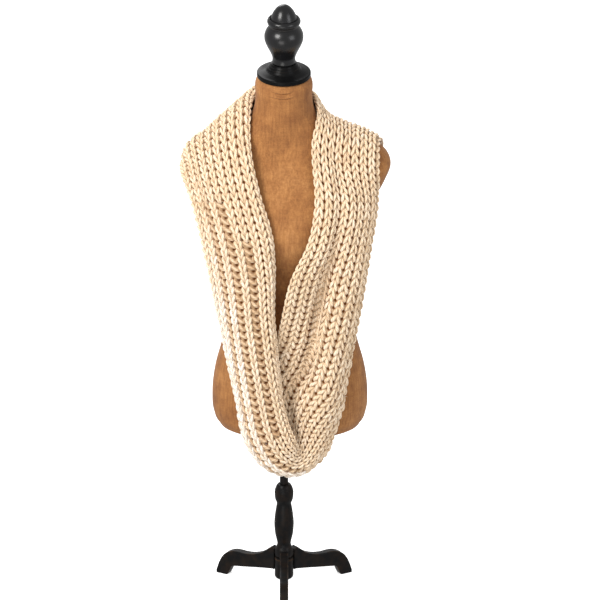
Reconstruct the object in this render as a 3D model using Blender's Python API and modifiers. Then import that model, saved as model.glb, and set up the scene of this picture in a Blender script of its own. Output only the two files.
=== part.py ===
"""Infinity scarf in a chunky rib knit, draped on a dress form that stands on a turned tripod.

Metres, +Z up. The form's front faces -Y, and +X is the viewer's right. The floor is z = 0.
Everything is shaped about the stand's pole and then moved, so that the middle of the whole
part's box is above the origin.
The scarf is one knitted band joined into a loop: over both shoulders, down the front, round a
twisted turn at the bottom. It is split into the stretches that show, 0.3 mm apart.
"""

import math

import bmesh
import bpy
import numpy as np
from mathutils import Vector
from mathutils.bvhtree import BVHTree

MM = 0.001
SEAT_GAP = 0.3 * MM

# The dress form
FORM_SIDES = 34
FORM_RINGS = 32
HIP_SHIFT = 11 * MM
CAP_TILT = math.radians(4)
# Each row is one level of the form, in mm: height, half width, depth in front of the pole,
# depth behind it, and how square the section is (2 is an ellipse).
FORM_COLUMNS = ("height", "half_width", "front", "back", "square")
FORM_LEVELS = (
    (327, 107, 68, 76, 2.1),
    (330, 120, 78, 87, 2.1),
    (341, 134, 87, 99, 2.1),
    (362, 143, 92, 107, 2.1),
    (395, 145.5, 94, 111, 2.1),
    (445, 140.5, 90, 106, 2.1),
    (500, 126.5, 83, 93, 2.1),
    (560, 112, 79, 79, 2.1),
    (605, 107, 80, 73, 2.1),
    (655, 113, 92, 77, 2.15),
    (705, 126, 111, 86, 2.2),
    (745, 137, 119, 92, 2.2),
    (785, 154, 111, 96, 2.2),
    (825, 178, 93, 96, 2.2),
    (862, 191, 72, 88, 2.25),
    (880, 184, 62, 80, 2.25),
    (897, 165, 56, 73, 2.25),
    (913, 134, 52, 67, 2.2),
    (929, 98, 50, 62, 2.15),
    (945, 71, 49, 58, 2.1),
    (965, 57, 49, 55, 2.1),
    (990, 53, 49, 53, 2.1),
    (1022, 52.4, 49, 52.5, 2.1),
    (1030, 49, 46, 49.5, 2.1),
)

# The turned wood on top of the neck
CAP_RADIUS = 50.4 * MM
CAP_THICK = 9.2 * MM
CAP_STEPS = ((33.5, 5.5), (30.0, 9.7), (27.0, 13.9), (24.0, 18.0))
CAP_SLOPE = ((36.5, 3.4), (44.5, 0.6))
BALL_RADIUS = 36.6 * MM
BALL_HALF_HEIGHT = 31 * MM
BALL_LEVEL = 53.4 * MM
# The ball draws in to the stem below its widest place: radius and height, in mm.
VASE_OUTLINE = ((36.6, 53.4), (35.9, 46.5), (32.3, 36.6), (26.9, 25.6), (22.6, 15.5), (21.4, 9), (22, 2))
BEAD_RADIUS = 31.3 * MM
BEAD_THICK = 7.5 * MM
BEAD_LEVEL = 84.4 * MM
DOME_RADIUS = 25.5 * MM
DOME_HEIGHT = 33.6 * MM

# The stand
TURNED_STEPS = 24
POLE_RADIUS = 8 * MM
SOCKET_DEPTH = 8 * MM
SOCKET_CLEARANCE = 0.5 * MM
HUB_RADIUS = 17.6 * MM
HUB_BOTTOM = 16 * MM
HUB_TOP = 60 * MM
POST_TOP = 208 * MM
# Each row is a point of the post's turned outline, in mm: radius and height, from the top down.
POST_OUTLINE = (
    (12.2, 207.6),
    (15.0, 203),
    (17.2, 195),
    (17.8, 187),
    (16.8, 178),
    (13.8, 169.5),
    (14.6, 163),
    (16.6, 150),
    (18.2, 135),
    (18.4, 124),
    (17.0, 108),
    (14.4, 96),
    (12.9, 88),
    (14.0, 82),
    (17.4, 75),
    (17.6, 66),
    (15.8, 61.5),
)
LEG_COUNT = 3
LEG_THICK = 16 * MM
LEG_ROOT = HUB_RADIUS + SEAT_GAP
FOOT_REACH = 144 * MM
# The leg board's outline, in mm: distance from the pole's axis and height.
LEG_TOP_EDGE = (
    (24, 76),
    (33, 70),
    (45, 60.5),
    (63, 53.5),
    (81, 51),
    (96, 51.5),
    (109, 50),
    (122, 44),
    (131, 35),
    (138, 22),
    (144, 5),
)
LEG_SOLE = ((143, 0), (120, 0))
LEG_BOTTOM_EDGE = ((115, 9), (111, 17), (104, 20), (91, 22), (68, 25.5), (45, 29), (22, 32))

# The scarf
RIBS = 10
WALL = 10 * MM
RIB_HEIGHT = 3.6 * MM
OUTER_SHARES = (0.0, 0.22, 0.5, 0.78)
INNER_GAP = 1.0 * MM
# In the fold at the bottom the knit is squeezed thin towards its inner edge.
SQUEEZE_AT = "turn"
SQUEEZED_TO = 0.25
SQUEEZE_LENGTH = 85 * MM
SQUEEZE_REACH = 0.55
LAY_ROUNDS = 14
CLEAR_ROUNDS = 8
SAMPLES = 3
CREASE_PASSES = 34
TURN_PASSES = 10
GRID_ROWS = 300
GRID_ACROSS = 96
STATION_STEP = 21 * MM
# Each row is one section across the band, in mm, going round the loop: the inner edge, the
# lengthwise crease, the outer edge, the crease's share of the width, and how far the part
# inside the crease and the part outside it bow away from the form.
BAND_COLUMNS = ("name", "inner", "crease", "outer", "crease_at", "inner_bow", "outer_bow")
BAND_SECTIONS = (
    ("back_centre", (0, 62, 984), (0, 72, 996), (0, 112, 796), 0.08, 1, 6),
    ("back_left", (-36, 49, 984), (-42, 58, 996), (-106, 100, 806), 0.08, 1, 8),
    ("shoulder_left_back", (-54, 23, 979), (-62, 29, 989), (-174, 58, 830), 0.08, 1, 13),
    ("shoulder_left", (-60, -4, 965), (-67, -8, 977), (-189, 8, 854), 0.08, 1, 13),
    ("collarbone_left", (-64, -62, 908), (-69, -79, 901), (-190, -28, 846), 0.10, 1, 14),
    ("chest_left", (-46, -100, 832), (-51, -117, 828), (-171, -60, 800), 0.11, 1, 18),
    ("bust_left", (-23, -123, 759), (-29, -140, 756), (-153, -80, 731), 0.12, 1, 18),
    ("ribs_left", (-18, -121, 679), (-24, -141, 677), (-137, -92, 655), 0.13, 1, 20),
    ("waist_left", (-20, -119, 600), (-26, -141, 597), (-121, -97, 576), 0.14, 1, 22),
    ("belly_left", (-13, -121, 520), (-19, -143, 518), (-105, -102, 499), 0.15, 1, 24),
    ("hip_left", (-6, -125, 445), (-12, -148, 438), (-88, -108, 421), 0.17, 1, 26),
    ("low_left", (8, -140, 386), (4, -153, 374), (-68, -114, 331), 0.12, 1, 26),
    ("turn_left", (24, -146, 348), (18, -151, 337), (-25, -110, 280), 0.12, 1, 24),
    ("turn", (27, -132, 342), (28, -135, 328), (31, -104, 269), 0.16, 1, 20),
    ("turn_right", (13, -114, 374), (23, -116, 359), (73, -104, 301), 0.20, 1, 18),
    ("low_right", (-8, -101, 438), (16, -103, 424), (94, -101, 351), 0.30, 0, 26),
    ("hip_right", (-14, -101, 496), (42, -96, 478), (111, -96, 410), 0.39, 1, 33),
    ("belly_right", (-10, -110, 544), (54, -91, 534), (122, -92, 483), 0.40, 2, 33),
    ("waist_right", (-1, -122, 598), (61, -92, 593), (136, -88, 556), 0.40, 5, 33),
    ("ribs_right", (15, -134, 675), (74, -104, 668), (151, -82, 642), 0.40, 8, 26),
    ("bust_right", (49, -130, 752), (96, -111, 749), (164, -72, 728), 0.36, 6, 14),
    ("chest_right", (60, -106, 827), (103, -100, 819), (175, -51, 796), 0.34, 3, 8),
    ("collarbone_right", (53, -64, 900), (100, -62, 874), (171, -42, 858), 0.34, 3, 5),
    ("shoulder_right", (57, -6, 968), (84, -4, 936), (170, 4, 892), 0.32, 2, 4),
    ("shoulder_right_back", (56, 27, 984), (72, 30, 950), (160, 60, 828), 0.24, 2, 8),
    ("back_right", (37, 50, 984), (44, 58, 974), (104, 100, 806), 0.14, 2, 6),
)
# Each row is a stretch of the loop with its own solid: name, first section and last section.
STRETCHES = (
    ("scarf_shoulder_left", "back_centre", "chest_left"),
    ("scarf_front_left", "chest_left", "low_left"),
    ("scarf_turn", "low_left", "low_right"),
    ("scarf_front_right", "low_right", "chest_right"),
    ("scarf_shoulder_right", "chest_right", "back_centre"),
)


def clear_scene():
    for obj in list(bpy.data.objects):
        bpy.data.objects.remove(obj)


def material(name, colour, roughness, metallic=0.0):
    made = bpy.data.materials.new(name)
    made.use_nodes = True
    shader = made.node_tree.nodes["Principled BSDF"]
    shader.inputs["Base Color"].default_value = (*colour, 1)
    shader.inputs["Roughness"].default_value = roughness
    shader.inputs["Metallic"].default_value = metallic
    return made


def add_object(name, data, collection, finish):
    obj = bpy.data.objects.new(name, data)
    collection.objects.link(obj)
    data.materials.append(finish)
    return obj


def smooth_rows(keys, rows, at, period=None):
    """A smooth curve through rows of numbers: one row for each key, read at the places in at."""
    keys = np.asarray(keys, float)
    rows = np.asarray(rows, float)
    if period is not None:
        keys = np.concatenate([keys[-2:] - period, keys, keys[:2] + period])
        rows = np.concatenate([rows[-2:], rows, rows[:2]])
    slopes = np.empty_like(rows)
    gaps = np.diff(keys)[:, None]
    steps = np.diff(rows, axis=0) / gaps
    slopes[1:-1] = (steps[:-1] * gaps[1:] + steps[1:] * gaps[:-1]) / (gaps[1:] + gaps[:-1])
    slopes[0] = steps[0]
    slopes[-1] = steps[-1]
    i = np.clip(np.searchsorted(keys, at, side="right") - 1, 0, len(keys) - 2)
    h = (keys[i + 1] - keys[i])[:, None]
    t = (np.asarray(at, float) - keys[i])[:, None] / h
    start, end = rows[i], rows[i + 1]
    pull = t * (1 - t)
    return (
        start
        + (end - start) * t * t * (3 - 2 * t)
        + slopes[i] * h * pull * (1 - t)
        - slopes[i + 1] * h * pull * t
    )


def form_section(heights):
    """The form's outline at each height, as an array of height by side by xyz."""
    table = np.array(FORM_LEVELS, float)
    levels = table[:, 0] * MM
    half, front, back, square = smooth_rows(levels, table[:, 1:], heights).T[:, :, None]
    angles = np.linspace(0, 2 * math.pi, FORM_SIDES, endpoint=False)[None, :]
    across = np.cos(angles)
    ahead = np.sin(angles)
    depth = np.where(ahead < 0, front, back) * MM
    x = np.sign(across) * np.abs(across) ** (2 / square) * half * MM
    y = np.sign(ahead) * np.abs(ahead) ** (2 / square) * depth
    neck = np.clip((heights - 0.80) / 0.17, 0, 1)[:, None]
    top = np.clip((heights - 0.97) / 0.05, 0, 1)[:, None]
    x = x + HIP_SHIFT * (1 - neck * neck * (3 - 2 * neck))
    z = heights[:, None] + math.tan(CAP_TILT) * y * top
    return np.stack([x, y, z], axis=2)


def form_heights():
    """Levels that lie closer together where the form turns quickly."""
    table = np.array(FORM_LEVELS, float) * MM
    turn = np.linalg.norm(np.diff(table[:, :4], axis=0), axis=1)
    along = np.concatenate([[0], np.cumsum(turn)])
    return np.interp(np.linspace(0, along[-1], FORM_RINGS), along, table[:, 0])


def loft_mesh(name, rings, closed_ends=True):
    """A mesh through rings of points, each ring closed on itself, with a flat face at each end."""
    count, sides, _ = rings.shape
    shape = bmesh.new()
    points = [[shape.verts.new(p) for p in ring] for ring in rings]
    for i in range(count - 1):
        for j in range(sides):
            k = (j + 1) % sides
            shape.faces.new((points[i][j], points[i][k], points[i + 1][k], points[i + 1][j]))
    if closed_ends:
        shape.faces.new(reversed(points[0]))
        shape.faces.new(points[-1])
    mesh = bpy.data.meshes.new(name)
    shape.to_mesh(mesh)
    shape.free()
    return mesh


def make_form(collection, finish):
    mesh = loft_mesh("form_body", form_section(form_heights()))
    mesh.shade_smooth()
    return add_object("form_body", mesh, collection, finish)


def arc(centre_r, centre_z, radius_r, radius_z, start, end, count):
    """Points of an ellipse in the turned outline, from one angle to another, in degrees."""
    angles = np.radians(np.linspace(start, end, count))
    return [(centre_r + radius_r * math.cos(a), centre_z + radius_z * math.sin(a)) for a in angles]


def turned(name, outline, collection, finish, level=0.0, tilt=0.0):
    """A turned piece: the outline runs from the axis at the top to the axis at the bottom."""
    mesh = bpy.data.meshes.new(name)
    points = [(r, 0, z) for r, z in outline]
    mesh.from_pydata(points, [(i, i + 1) for i in range(len(points) - 1)], [])
    obj = add_object(name, mesh, collection, finish)
    obj.location = (0, 0, level)
    obj.rotation_euler = (tilt, 0, 0)
    screw = obj.modifiers.new("turn", "SCREW")
    screw.steps = TURNED_STEPS
    screw.render_steps = TURNED_STEPS
    screw.use_merge_vertices = True
    screw.merge_threshold = 0.00005
    screw.use_smooth_shade = True
    return obj


def make_cap(collection, finish):
    """The disc on the neck, with turned steps up to the finial."""
    edge = 2 * MM
    outline = [(0, CAP_THICK + CAP_STEPS[-1][1] * MM)]
    for radius, height in reversed(CAP_STEPS):
        outline.append((radius * MM - 0.6 * MM, CAP_THICK + height * MM))
        outline.append((radius * MM, CAP_THICK + height * MM - 0.8 * MM))
    outline += [(radius * MM, CAP_THICK + height * MM) for radius, height in CAP_SLOPE]
    outline += arc(CAP_RADIUS - edge, CAP_THICK - edge, edge, edge, 90, 0, 4)
    outline += arc(CAP_RADIUS - edge, edge, edge, edge, 0, -90, 4)
    outline.append((0, 0))
    top_of_neck = FORM_LEVELS[-1][0] * MM
    return turned("neck_cap", outline, collection, finish, top_of_neck + SEAT_GAP, CAP_TILT)


def make_finial(collection, finish):
    """An acorn: short stem, ball, bead and pointed dome. It stands on the cap's top step."""
    tip = BEAD_LEVEL + DOME_HEIGHT
    rise = np.linspace(0, 1, 6)
    dome = [(DOME_RADIUS * math.sqrt(1 - (1 - t) ** 1.5), tip - DOME_HEIGHT * t) for t in rise]
    bead = arc(BEAD_RADIUS - BEAD_THICK, BEAD_LEVEL, BEAD_THICK, BEAD_THICK, 62, -62, 6)
    ball = arc(0, BALL_LEVEL, BALL_RADIUS, BALL_HALF_HEIGHT, 43, 0, 5)
    rows = np.array(VASE_OUTLINE, float) * MM
    keys = np.arange(len(rows))
    vase = smooth_rows(keys, rows, np.linspace(0, keys[-1], 9))
    foot = [(vase[-1][0] - 0.8 * MM, 0), (0, 0)]
    outline = dome[:-1] + bead + ball[:-1] + [tuple(p) for p in vase] + foot
    top_step = CAP_THICK + CAP_STEPS[-1][1] * MM + SEAT_GAP
    level = FORM_LEVELS[-1][0] * MM + SEAT_GAP
    finial = turned("finial", outline, collection, finish, level, CAP_TILT)
    finial.location.y -= math.sin(CAP_TILT) * top_step
    finial.location.z += math.cos(CAP_TILT) * top_step
    return finial


def make_pole(collection, finish):
    bottom = POST_TOP - SOCKET_DEPTH + SEAT_GAP
    top = FORM_LEVELS[0][0] * MM - SEAT_GAP
    outline = [(0, top), (POLE_RADIUS, top), (POLE_RADIUS, bottom), (0, bottom)]
    return turned("pole", outline, collection, finish)


def make_post(collection, finish):
    """The turned post, with the socket that the pole stands in."""
    bore = POLE_RADIUS + SOCKET_CLEARANCE
    socket = [(0, POST_TOP - SOCKET_DEPTH), (bore, POST_TOP - SOCKET_DEPTH), (bore, POST_TOP)]
    rows = np.array(POST_OUTLINE, float) * MM
    keys = np.arange(len(rows))
    shaped = smooth_rows(keys, rows, np.linspace(0, keys[-1], 26))
    floor = HUB_TOP + SEAT_GAP
    outline = socket + [tuple(p) for p in shaped] + [(shaped[-1][0] - 0.6 * MM, floor), (0, floor)]
    return turned("post", outline, collection, finish)


def make_hub(collection, finish):
    """The block that the three legs are fixed to, with a bead round its top and a rounded end."""
    bead = 1.3 * MM
    end = 7 * MM
    outline = [(0, HUB_TOP)]
    outline += arc(HUB_RADIUS - bead, HUB_TOP - bead, bead, bead, 90, -60, 6)
    outline.append((HUB_RADIUS - 1.4 * MM, HUB_TOP - 3.4 * MM))
    outline.append((HUB_RADIUS, HUB_TOP - 4.4 * MM))
    outline += arc(HUB_RADIUS - end, HUB_BOTTOM + end, end, end, 0, -90, 6)
    outline.append((0, HUB_BOTTOM))
    return turned("hub", outline, collection, finish)


def leg_outline():
    """The board's outline with both long edges as smooth curves."""
    def eased(points, count):
        rows = np.array(points, float) * MM
        keys = np.arange(len(rows))
        return [tuple(p) for p in smooth_rows(keys, rows, np.linspace(0, keys[-1], count))]

    top = eased(LEG_TOP_EDGE, 21)
    bottom = eased(LEG_BOTTOM_EDGE, 13)
    root_top = (LEG_ROOT, LEG_TOP_EDGE[0][1] * MM - 3 * MM)
    root_bottom = (LEG_ROOT, LEG_BOTTOM_EDGE[-1][1] * MM)
    sole = [(x * MM, z * MM) for x, z in LEG_SOLE]
    return [root_top] + top + sole + bottom + [root_bottom]


def make_leg(name, turn, collection, finish):
    """A flat board cut to an S outline, standing on edge and pointing away from the hub."""
    curve = bpy.data.curves.new(name, "CURVE")
    curve.dimensions = "2D"
    curve.fill_mode = "BOTH"
    curve.extrude = LEG_THICK / 2
    points = leg_outline()
    spline = curve.splines.new("POLY")
    spline.points.add(len(points) - 1)
    for point, (x, z) in zip(spline.points, points):
        point.co = (x, z, 0, 1)
    spline.use_cyclic_u = True
    leg = add_object(name, curve, collection, finish)
    leg.rotation_euler = (math.pi / 2, 0, turn)
    return leg


def make_legs(collection, finish):
    names = ("leg_front", "leg_right", "leg_left")
    for i in range(LEG_COUNT):
        make_leg(names[i], -math.pi / 2 + i * 2 * math.pi / LEG_COUNT, collection, finish)


def bowed(start, end, outward, bow, shares):
    """Points from start to end that stand away from the straight line by bow at the middle."""
    shares = shares[None, :, None]
    rise = (4 * shares * (1 - shares)) * bow[:, None, None]
    return start[:, None] * (1 - shares) + end[:, None] * shares + outward[:, None] * rise


def unit(vectors):
    return vectors / np.maximum(np.linalg.norm(vectors, axis=-1, keepdims=True), 1e-12)


def evenly_across(lines, count):
    """Each section's line again, with points evenly spaced along it."""
    steps = np.linalg.norm(np.diff(lines, axis=1), axis=2)
    along = np.concatenate([np.zeros((len(lines), 1)), np.cumsum(steps, axis=1)], axis=1)
    made = np.empty((len(lines), count, 3))
    for i, line in enumerate(lines):
        at = np.linspace(0, along[i, -1], count)
        for k in range(3):
            made[i, :, k] = np.interp(at, along[i], line[:, k])
    return made


def section_keys():
    """How far round the loop each section lies, and the loop's length, by the band's middle."""
    middles = np.array([(np.array(row[2]) + np.array(row[3])) / 2 for row in BAND_SECTIONS]) * MM
    steps = np.linalg.norm(np.roll(middles, -1, axis=0) - middles, axis=1)
    return np.concatenate([[0], np.cumsum(steps)[:-1]]), steps.sum()


def free_band():
    """The band's middle surface as the sections give it, before it is laid on the form."""
    keys, period = section_keys()
    rows = [[*inner, *crease, *outer, at, in_bow, out_bow]
            for _, inner, crease, outer, at, in_bow, out_bow in BAND_SECTIONS]
    places = np.linspace(0, period, GRID_ROWS, endpoint=False)
    made = smooth_rows(keys, rows, places, period)
    inner, crease, outer = (made[:, i:i + 3] * MM for i in (0, 3, 6))
    in_bow, out_bow = made[:, 10] * MM, made[:, 11] * MM
    middle = (crease + outer) / 2
    along = unit(np.roll(middle, -1, axis=0) - np.roll(middle, 1, axis=0))
    out_part = unit(np.cross(outer - crease, along))
    in_part = unit(np.cross(crease - inner, along))
    shares = np.linspace(0, 1, GRID_ACROSS // 2)
    front = bowed(crease, outer, out_part, out_bow, shares)
    under = bowed(inner, crease, in_part, in_bow, shares)
    lines = evenly_across(np.concatenate([under[:, :-1], front], axis=1), GRID_ACROSS + 1)
    for _ in range(CREASE_PASSES):
        lines[:, 1:-1] = (lines[:, :-2] + 2 * lines[:, 1:-1] + lines[:, 2:]) / 4
    for _ in range(TURN_PASSES):
        lines = (np.roll(lines, 1, axis=0) + 2 * lines + np.roll(lines, -1, axis=0)) / 4
    return evenly_across(lines, GRID_ACROSS + 1)


def eased_over(field, rounds):
    """A field over the band, smoothed along and across it."""
    for _ in range(rounds):
        field = (np.roll(field, 1, axis=0) + 2 * field + np.roll(field, -1, axis=0)) / 4
        wide = np.concatenate([field[:, :1], field, field[:, -1:]], axis=1)
        field = (wide[:, :-2] + 2 * wide[:, 1:-1] + wide[:, 2:]) / 4
    return field


def laid_on(band, tree):
    """The band moved out of the form, so that its inner face clears it by the gap."""
    clear = WALL / 2 + INNER_GAP
    for step in range(LAY_ROUNDS):
        push = np.zeros_like(band)
        for i, line in enumerate(band):
            for j, point in enumerate(line):
                place, normal, _, near = tree.find_nearest(Vector(point))
                away = (Vector(point) - place).dot(normal)
                depth = clear - (near if away > 0 else -near)
                if depth > 0:
                    push[i, j] = np.array(normal) * depth
        if step < LAY_ROUNDS - 2:
            push = eased_over(push, 3) * 1.25
        band = band + push
    return band


class Band:
    """The scarf's middle surface: where it lies and which way it faces, anywhere on it."""

    def __init__(self, points):
        self.points = points
        along = np.roll(points, -1, axis=0) - np.roll(points, 1, axis=0)
        across = np.gradient(points, axis=1)
        self.facing = unit(np.cross(across, along))

    def read(self, field, turn, across):
        """The field at turn (0 to 1 round the loop) and across (0 to 1 from the inner edge)."""
        rows, columns = len(field), field.shape[1] - 1
        r = (turn % 1.0) * rows
        c = np.clip(across, 0, 1) * columns
        i = np.floor(r).astype(int) % rows
        j = np.minimum(np.floor(c).astype(int), columns - 1)
        fr = (r - np.floor(r))[..., None]
        fc = (c - j)[..., None]
        k = (i + 1) % rows
        low = field[i, j] * (1 - fc) + field[i, j + 1] * fc
        high = field[k, j] * (1 - fc) + field[k, j + 1] * fc
        return low * (1 - fr) + high * fr

    def at(self, turn, across, height):
        place = self.read(self.points, turn, across)
        facing = unit(self.read(self.facing, turn, across))
        return place + facing * height[..., None]


def rib_outline():
    """One ring round the wall: ribs over the outer face, then the plain inner face."""
    across, height = [], []
    low = WALL / 2 - RIB_HEIGHT
    for rib in range(RIBS):
        for share in OUTER_SHARES:
            crest = math.sin(math.pi * share) ** 0.7
            across.append((rib + share) / RIBS)
            height.append(low + RIB_HEIGHT * crest)
    across.append(1.0)
    height.append(low)
    for rib in range(RIBS, -1, -1):
        across.append(rib / RIBS)
        height.append(-WALL / 2)
    return np.array(across), np.array(height)


def stations(band, marks, length):
    """Places round the loop, closer where the outer edge turns, with the marks among them."""
    fine = np.linspace(0, 1, GRID_ROWS + 1)
    edge = band.at(fine, np.ones_like(fine), np.zeros_like(fine))
    walked = np.concatenate([[0], np.cumsum(np.linalg.norm(np.diff(edge, axis=0), axis=1))])
    at_marks = np.interp(marks, fine, walked)
    ends = np.concatenate([at_marks[1:], [at_marks[0] + walked[-1]]])
    places, firsts = [], []
    for begin, end in zip(at_marks, ends):
        firsts.append(len(places))
        count = round((end - begin) / STATION_STEP)
        places += [begin + (end - begin) * n / count for n in range(count)]
    return np.interp(np.array(places) % walked[-1], walked, fine), firsts


def sampled(grid):
    """Points on the faces of a grid that is closed along its first axis, SAMPLES to an edge."""
    share = np.arange(SAMPLES)[:, None, None] / SAMPLES
    ahead = np.roll(grid, -1, axis=0)
    rows = (grid[:, None] * (1 - share) + ahead[:, None] * share).reshape(-1, *grid.shape[1:])
    share = np.arange(SAMPLES)[:, None] / SAMPLES
    between = rows[:, :-1, None] * (1 - share) + rows[:, 1:, None] * share
    return np.concatenate([between.reshape(len(rows), -1, 3), rows[:, -1:]], axis=1)


def lift_off(face, tree, gap):
    """How far each point of a face of the wall moves, so that the whole face clears the form."""
    moved = face.copy()
    rows, columns, _ = face.shape
    for _ in range(CLEAR_ROUNDS):
        depths = np.zeros((rows, columns))
        moves = np.zeros_like(face)
        for i, line in enumerate(sampled(moved)):
            for j, point in enumerate(line):
                place, normal, _, near = tree.find_nearest(Vector(point))
                away = (Vector(point) - place).dot(normal)
                depth = gap - (near if away > 0 else -near)
                if depth <= 0:
                    continue
                for r in {i // SAMPLES, -(-i // SAMPLES) % rows}:
                    for c in {j // SAMPLES, -(-j // SAMPLES)}:
                        if depth > depths[r, c]:
                            depths[r, c] = depth
                            moves[r, c] = np.array(normal) * depth
        if not depths.any():
            break
        moved += moves
    return moved - face


def wall_share(turns, across):
    """How much of its thickness the wall keeps: less near the inner edge in the bottom fold."""
    keys, period = section_keys()
    names = [row[0] for row in BAND_SECTIONS]
    away = np.abs(turns - keys[names.index(SQUEEZE_AT)] / period) * period / SQUEEZE_LENGTH
    along = np.cos(np.clip(away, 0, 1) * math.pi / 2) ** 2
    inside = np.cos(np.clip(across / SQUEEZE_REACH, 0, 1) * math.pi / 2) ** 2
    return 1 - (1 - SQUEEZED_TO) * along * inside


def wall_rings(band, turns, tree):
    """The rings round the wall at every station, with the inner face and edges off the form."""
    across, height = rib_outline()
    shape = (len(turns), len(across))
    rings = band.at(
        np.broadcast_to(turns[:, None], shape),
        np.broadcast_to(across, shape),
        height[None, :] * wall_share(turns[:, None], across[None, :]),
    )
    outer = RIBS * len(OUTER_SHARES) + 1
    face = list(range(outer - 1, len(across))) + [0]
    lifts = lift_off(rings[:, face], tree, INNER_GAP)
    inner_across = across[:outer - 1:-1]
    for i, lift in enumerate(lifts):
        inside = lift[-2:0:-1]
        for k in range(3):
            rings[i, :, k] += np.interp(across, inner_across, inside[:, k])
        for edge, point, beside in ((outer - 1, 0, 1), (0, -1, -2)):
            if np.linalg.norm(lift[point]) > np.linalg.norm(lift[beside]):
                rings[i, edge] += lift[point] - lift[beside]
    return rings


def stretch_mesh(name, rings):
    """The wall of one stretch, with an end face of triangle fans at each end."""
    sides = rings.shape[1]
    shape = bmesh.new()
    points = [[shape.verts.new(p) for p in ring] for ring in rings]
    for i in range(len(rings) - 1):
        for j in range(sides):
            k = (j + 1) % sides
            shape.faces.new((points[i][k], points[i][j], points[i + 1][j], points[i + 1][k]))
    per_rib = len(OUTER_SHARES)
    for ring, turned_round in ((points[0], False), (points[-1], True)):
        for rib in range(RIBS):
            first = rib * per_rib
            low, high = sides - 1 - rib, sides - 2 - rib
            fans = [(ring[first + n], ring[first + n + 1], ring[low]) for n in range(per_rib)]
            fans.append((ring[first + per_rib], ring[high], ring[low]))
            for fan in fans:
                shape.faces.new(tuple(reversed(fan)) if turned_round else fan)
    mesh = bpy.data.meshes.new(name)
    bmesh.ops.recalc_face_normals(shape, faces=shape.faces)
    shape.to_mesh(mesh)
    shape.free()
    return mesh


def make_scarf(form, collection, finish):
    tree = BVHTree.FromObject(form, bpy.context.evaluated_depsgraph_get())
    band = Band(laid_on(free_band(), tree))
    keys, period = section_keys()
    names = [row[0] for row in BAND_SECTIONS]
    marks = [keys[names.index(first)] / period for _, first, _ in STRETCHES]
    turns, firsts = stations(band, marks, period)
    rings = wall_rings(band, turns, tree)
    ahead = unit(np.roll(rings, -1, axis=0) - np.roll(rings, 1, axis=0)) * SEAT_GAP / 2
    for (name, _, _), first, last in zip(STRETCHES, firsts, firsts[1:] + [len(turns)]):
        picked = np.arange(first, last + 1) % len(turns)
        part_rings = rings[picked].copy()
        part_rings[0] += ahead[picked[0]]
        part_rings[-1] -= ahead[picked[-1]]
        add_object(name, stretch_mesh(name, part_rings), collection, finish)


def centre_on_origin(collection):
    """Moves everything so that the middle of the whole part's box is above the origin."""
    bpy.context.view_layer.update()
    graph = bpy.context.evaluated_depsgraph_get()
    points = []
    for obj in collection.objects:
        shaped = obj.evaluated_get(graph)
        points += [shaped.matrix_world @ vertex.co for vertex in shaped.to_mesh().vertices]
        shaped.to_mesh_clear()
    for axis in (0, 1):
        middle = (min(p[axis] for p in points) + max(p[axis] for p in points)) / 2
        for obj in collection.objects:
            obj.location[axis] -= middle


def main():
    clear_scene()
    collection = bpy.data.collections.new("scarf_on_dress_form")
    bpy.context.scene.collection.children.link(collection)
    cloth = material("tan_suede_cloth", (0.42, 0.22, 0.09), 0.85)
    wood = material("black_turned_wood", (0.02, 0.018, 0.017), 0.38)
    knit = material("oatmeal_wool", (0.80, 0.62, 0.42), 0.9)
    form = make_form(collection, cloth)
    make_cap(collection, wood)
    make_finial(collection, wood)
    make_pole(collection, wood)
    make_post(collection, wood)
    make_hub(collection, wood)
    make_legs(collection, wood)
    bpy.context.view_layer.update()
    make_scarf(form, collection, knit)
    centre_on_origin(collection)


main()
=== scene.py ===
"""Looks of the chunky rib-knit infinity scarf on its dress form and turned tripod stand.

Metres, +Z up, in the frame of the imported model. The scarf's band and the form are worked out from
the same tables as the solids: the band gives a thin knitted shell for each stretch, and every
stitch is laid on it by its place round the loop and across the band.
"""

import math

import bmesh
import bpy
import numpy as np
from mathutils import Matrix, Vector
from mathutils.bvhtree import BVHTree


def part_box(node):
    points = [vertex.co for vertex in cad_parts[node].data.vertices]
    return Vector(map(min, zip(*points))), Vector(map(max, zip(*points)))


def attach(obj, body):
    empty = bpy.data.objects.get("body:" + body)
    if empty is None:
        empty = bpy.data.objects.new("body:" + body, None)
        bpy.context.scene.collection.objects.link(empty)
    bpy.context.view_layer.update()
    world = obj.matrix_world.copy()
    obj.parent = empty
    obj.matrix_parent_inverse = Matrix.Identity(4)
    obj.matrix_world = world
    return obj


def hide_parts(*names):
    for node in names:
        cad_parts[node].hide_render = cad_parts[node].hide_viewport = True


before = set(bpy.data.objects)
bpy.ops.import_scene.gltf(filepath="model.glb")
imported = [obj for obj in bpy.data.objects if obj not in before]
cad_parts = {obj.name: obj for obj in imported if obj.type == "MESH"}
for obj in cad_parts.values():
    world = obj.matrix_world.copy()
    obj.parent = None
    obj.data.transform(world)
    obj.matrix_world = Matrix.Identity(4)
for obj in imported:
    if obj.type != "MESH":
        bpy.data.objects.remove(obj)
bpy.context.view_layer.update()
MM = 0.001
rng = np.random.default_rng(7)
pole_low, pole_high = (np.array(corner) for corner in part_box("pole"))
POLE = np.array([(pole_low[0] + pole_high[0]) / 2, (pole_low[1] + pole_high[1]) / 2, 0.0])

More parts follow.
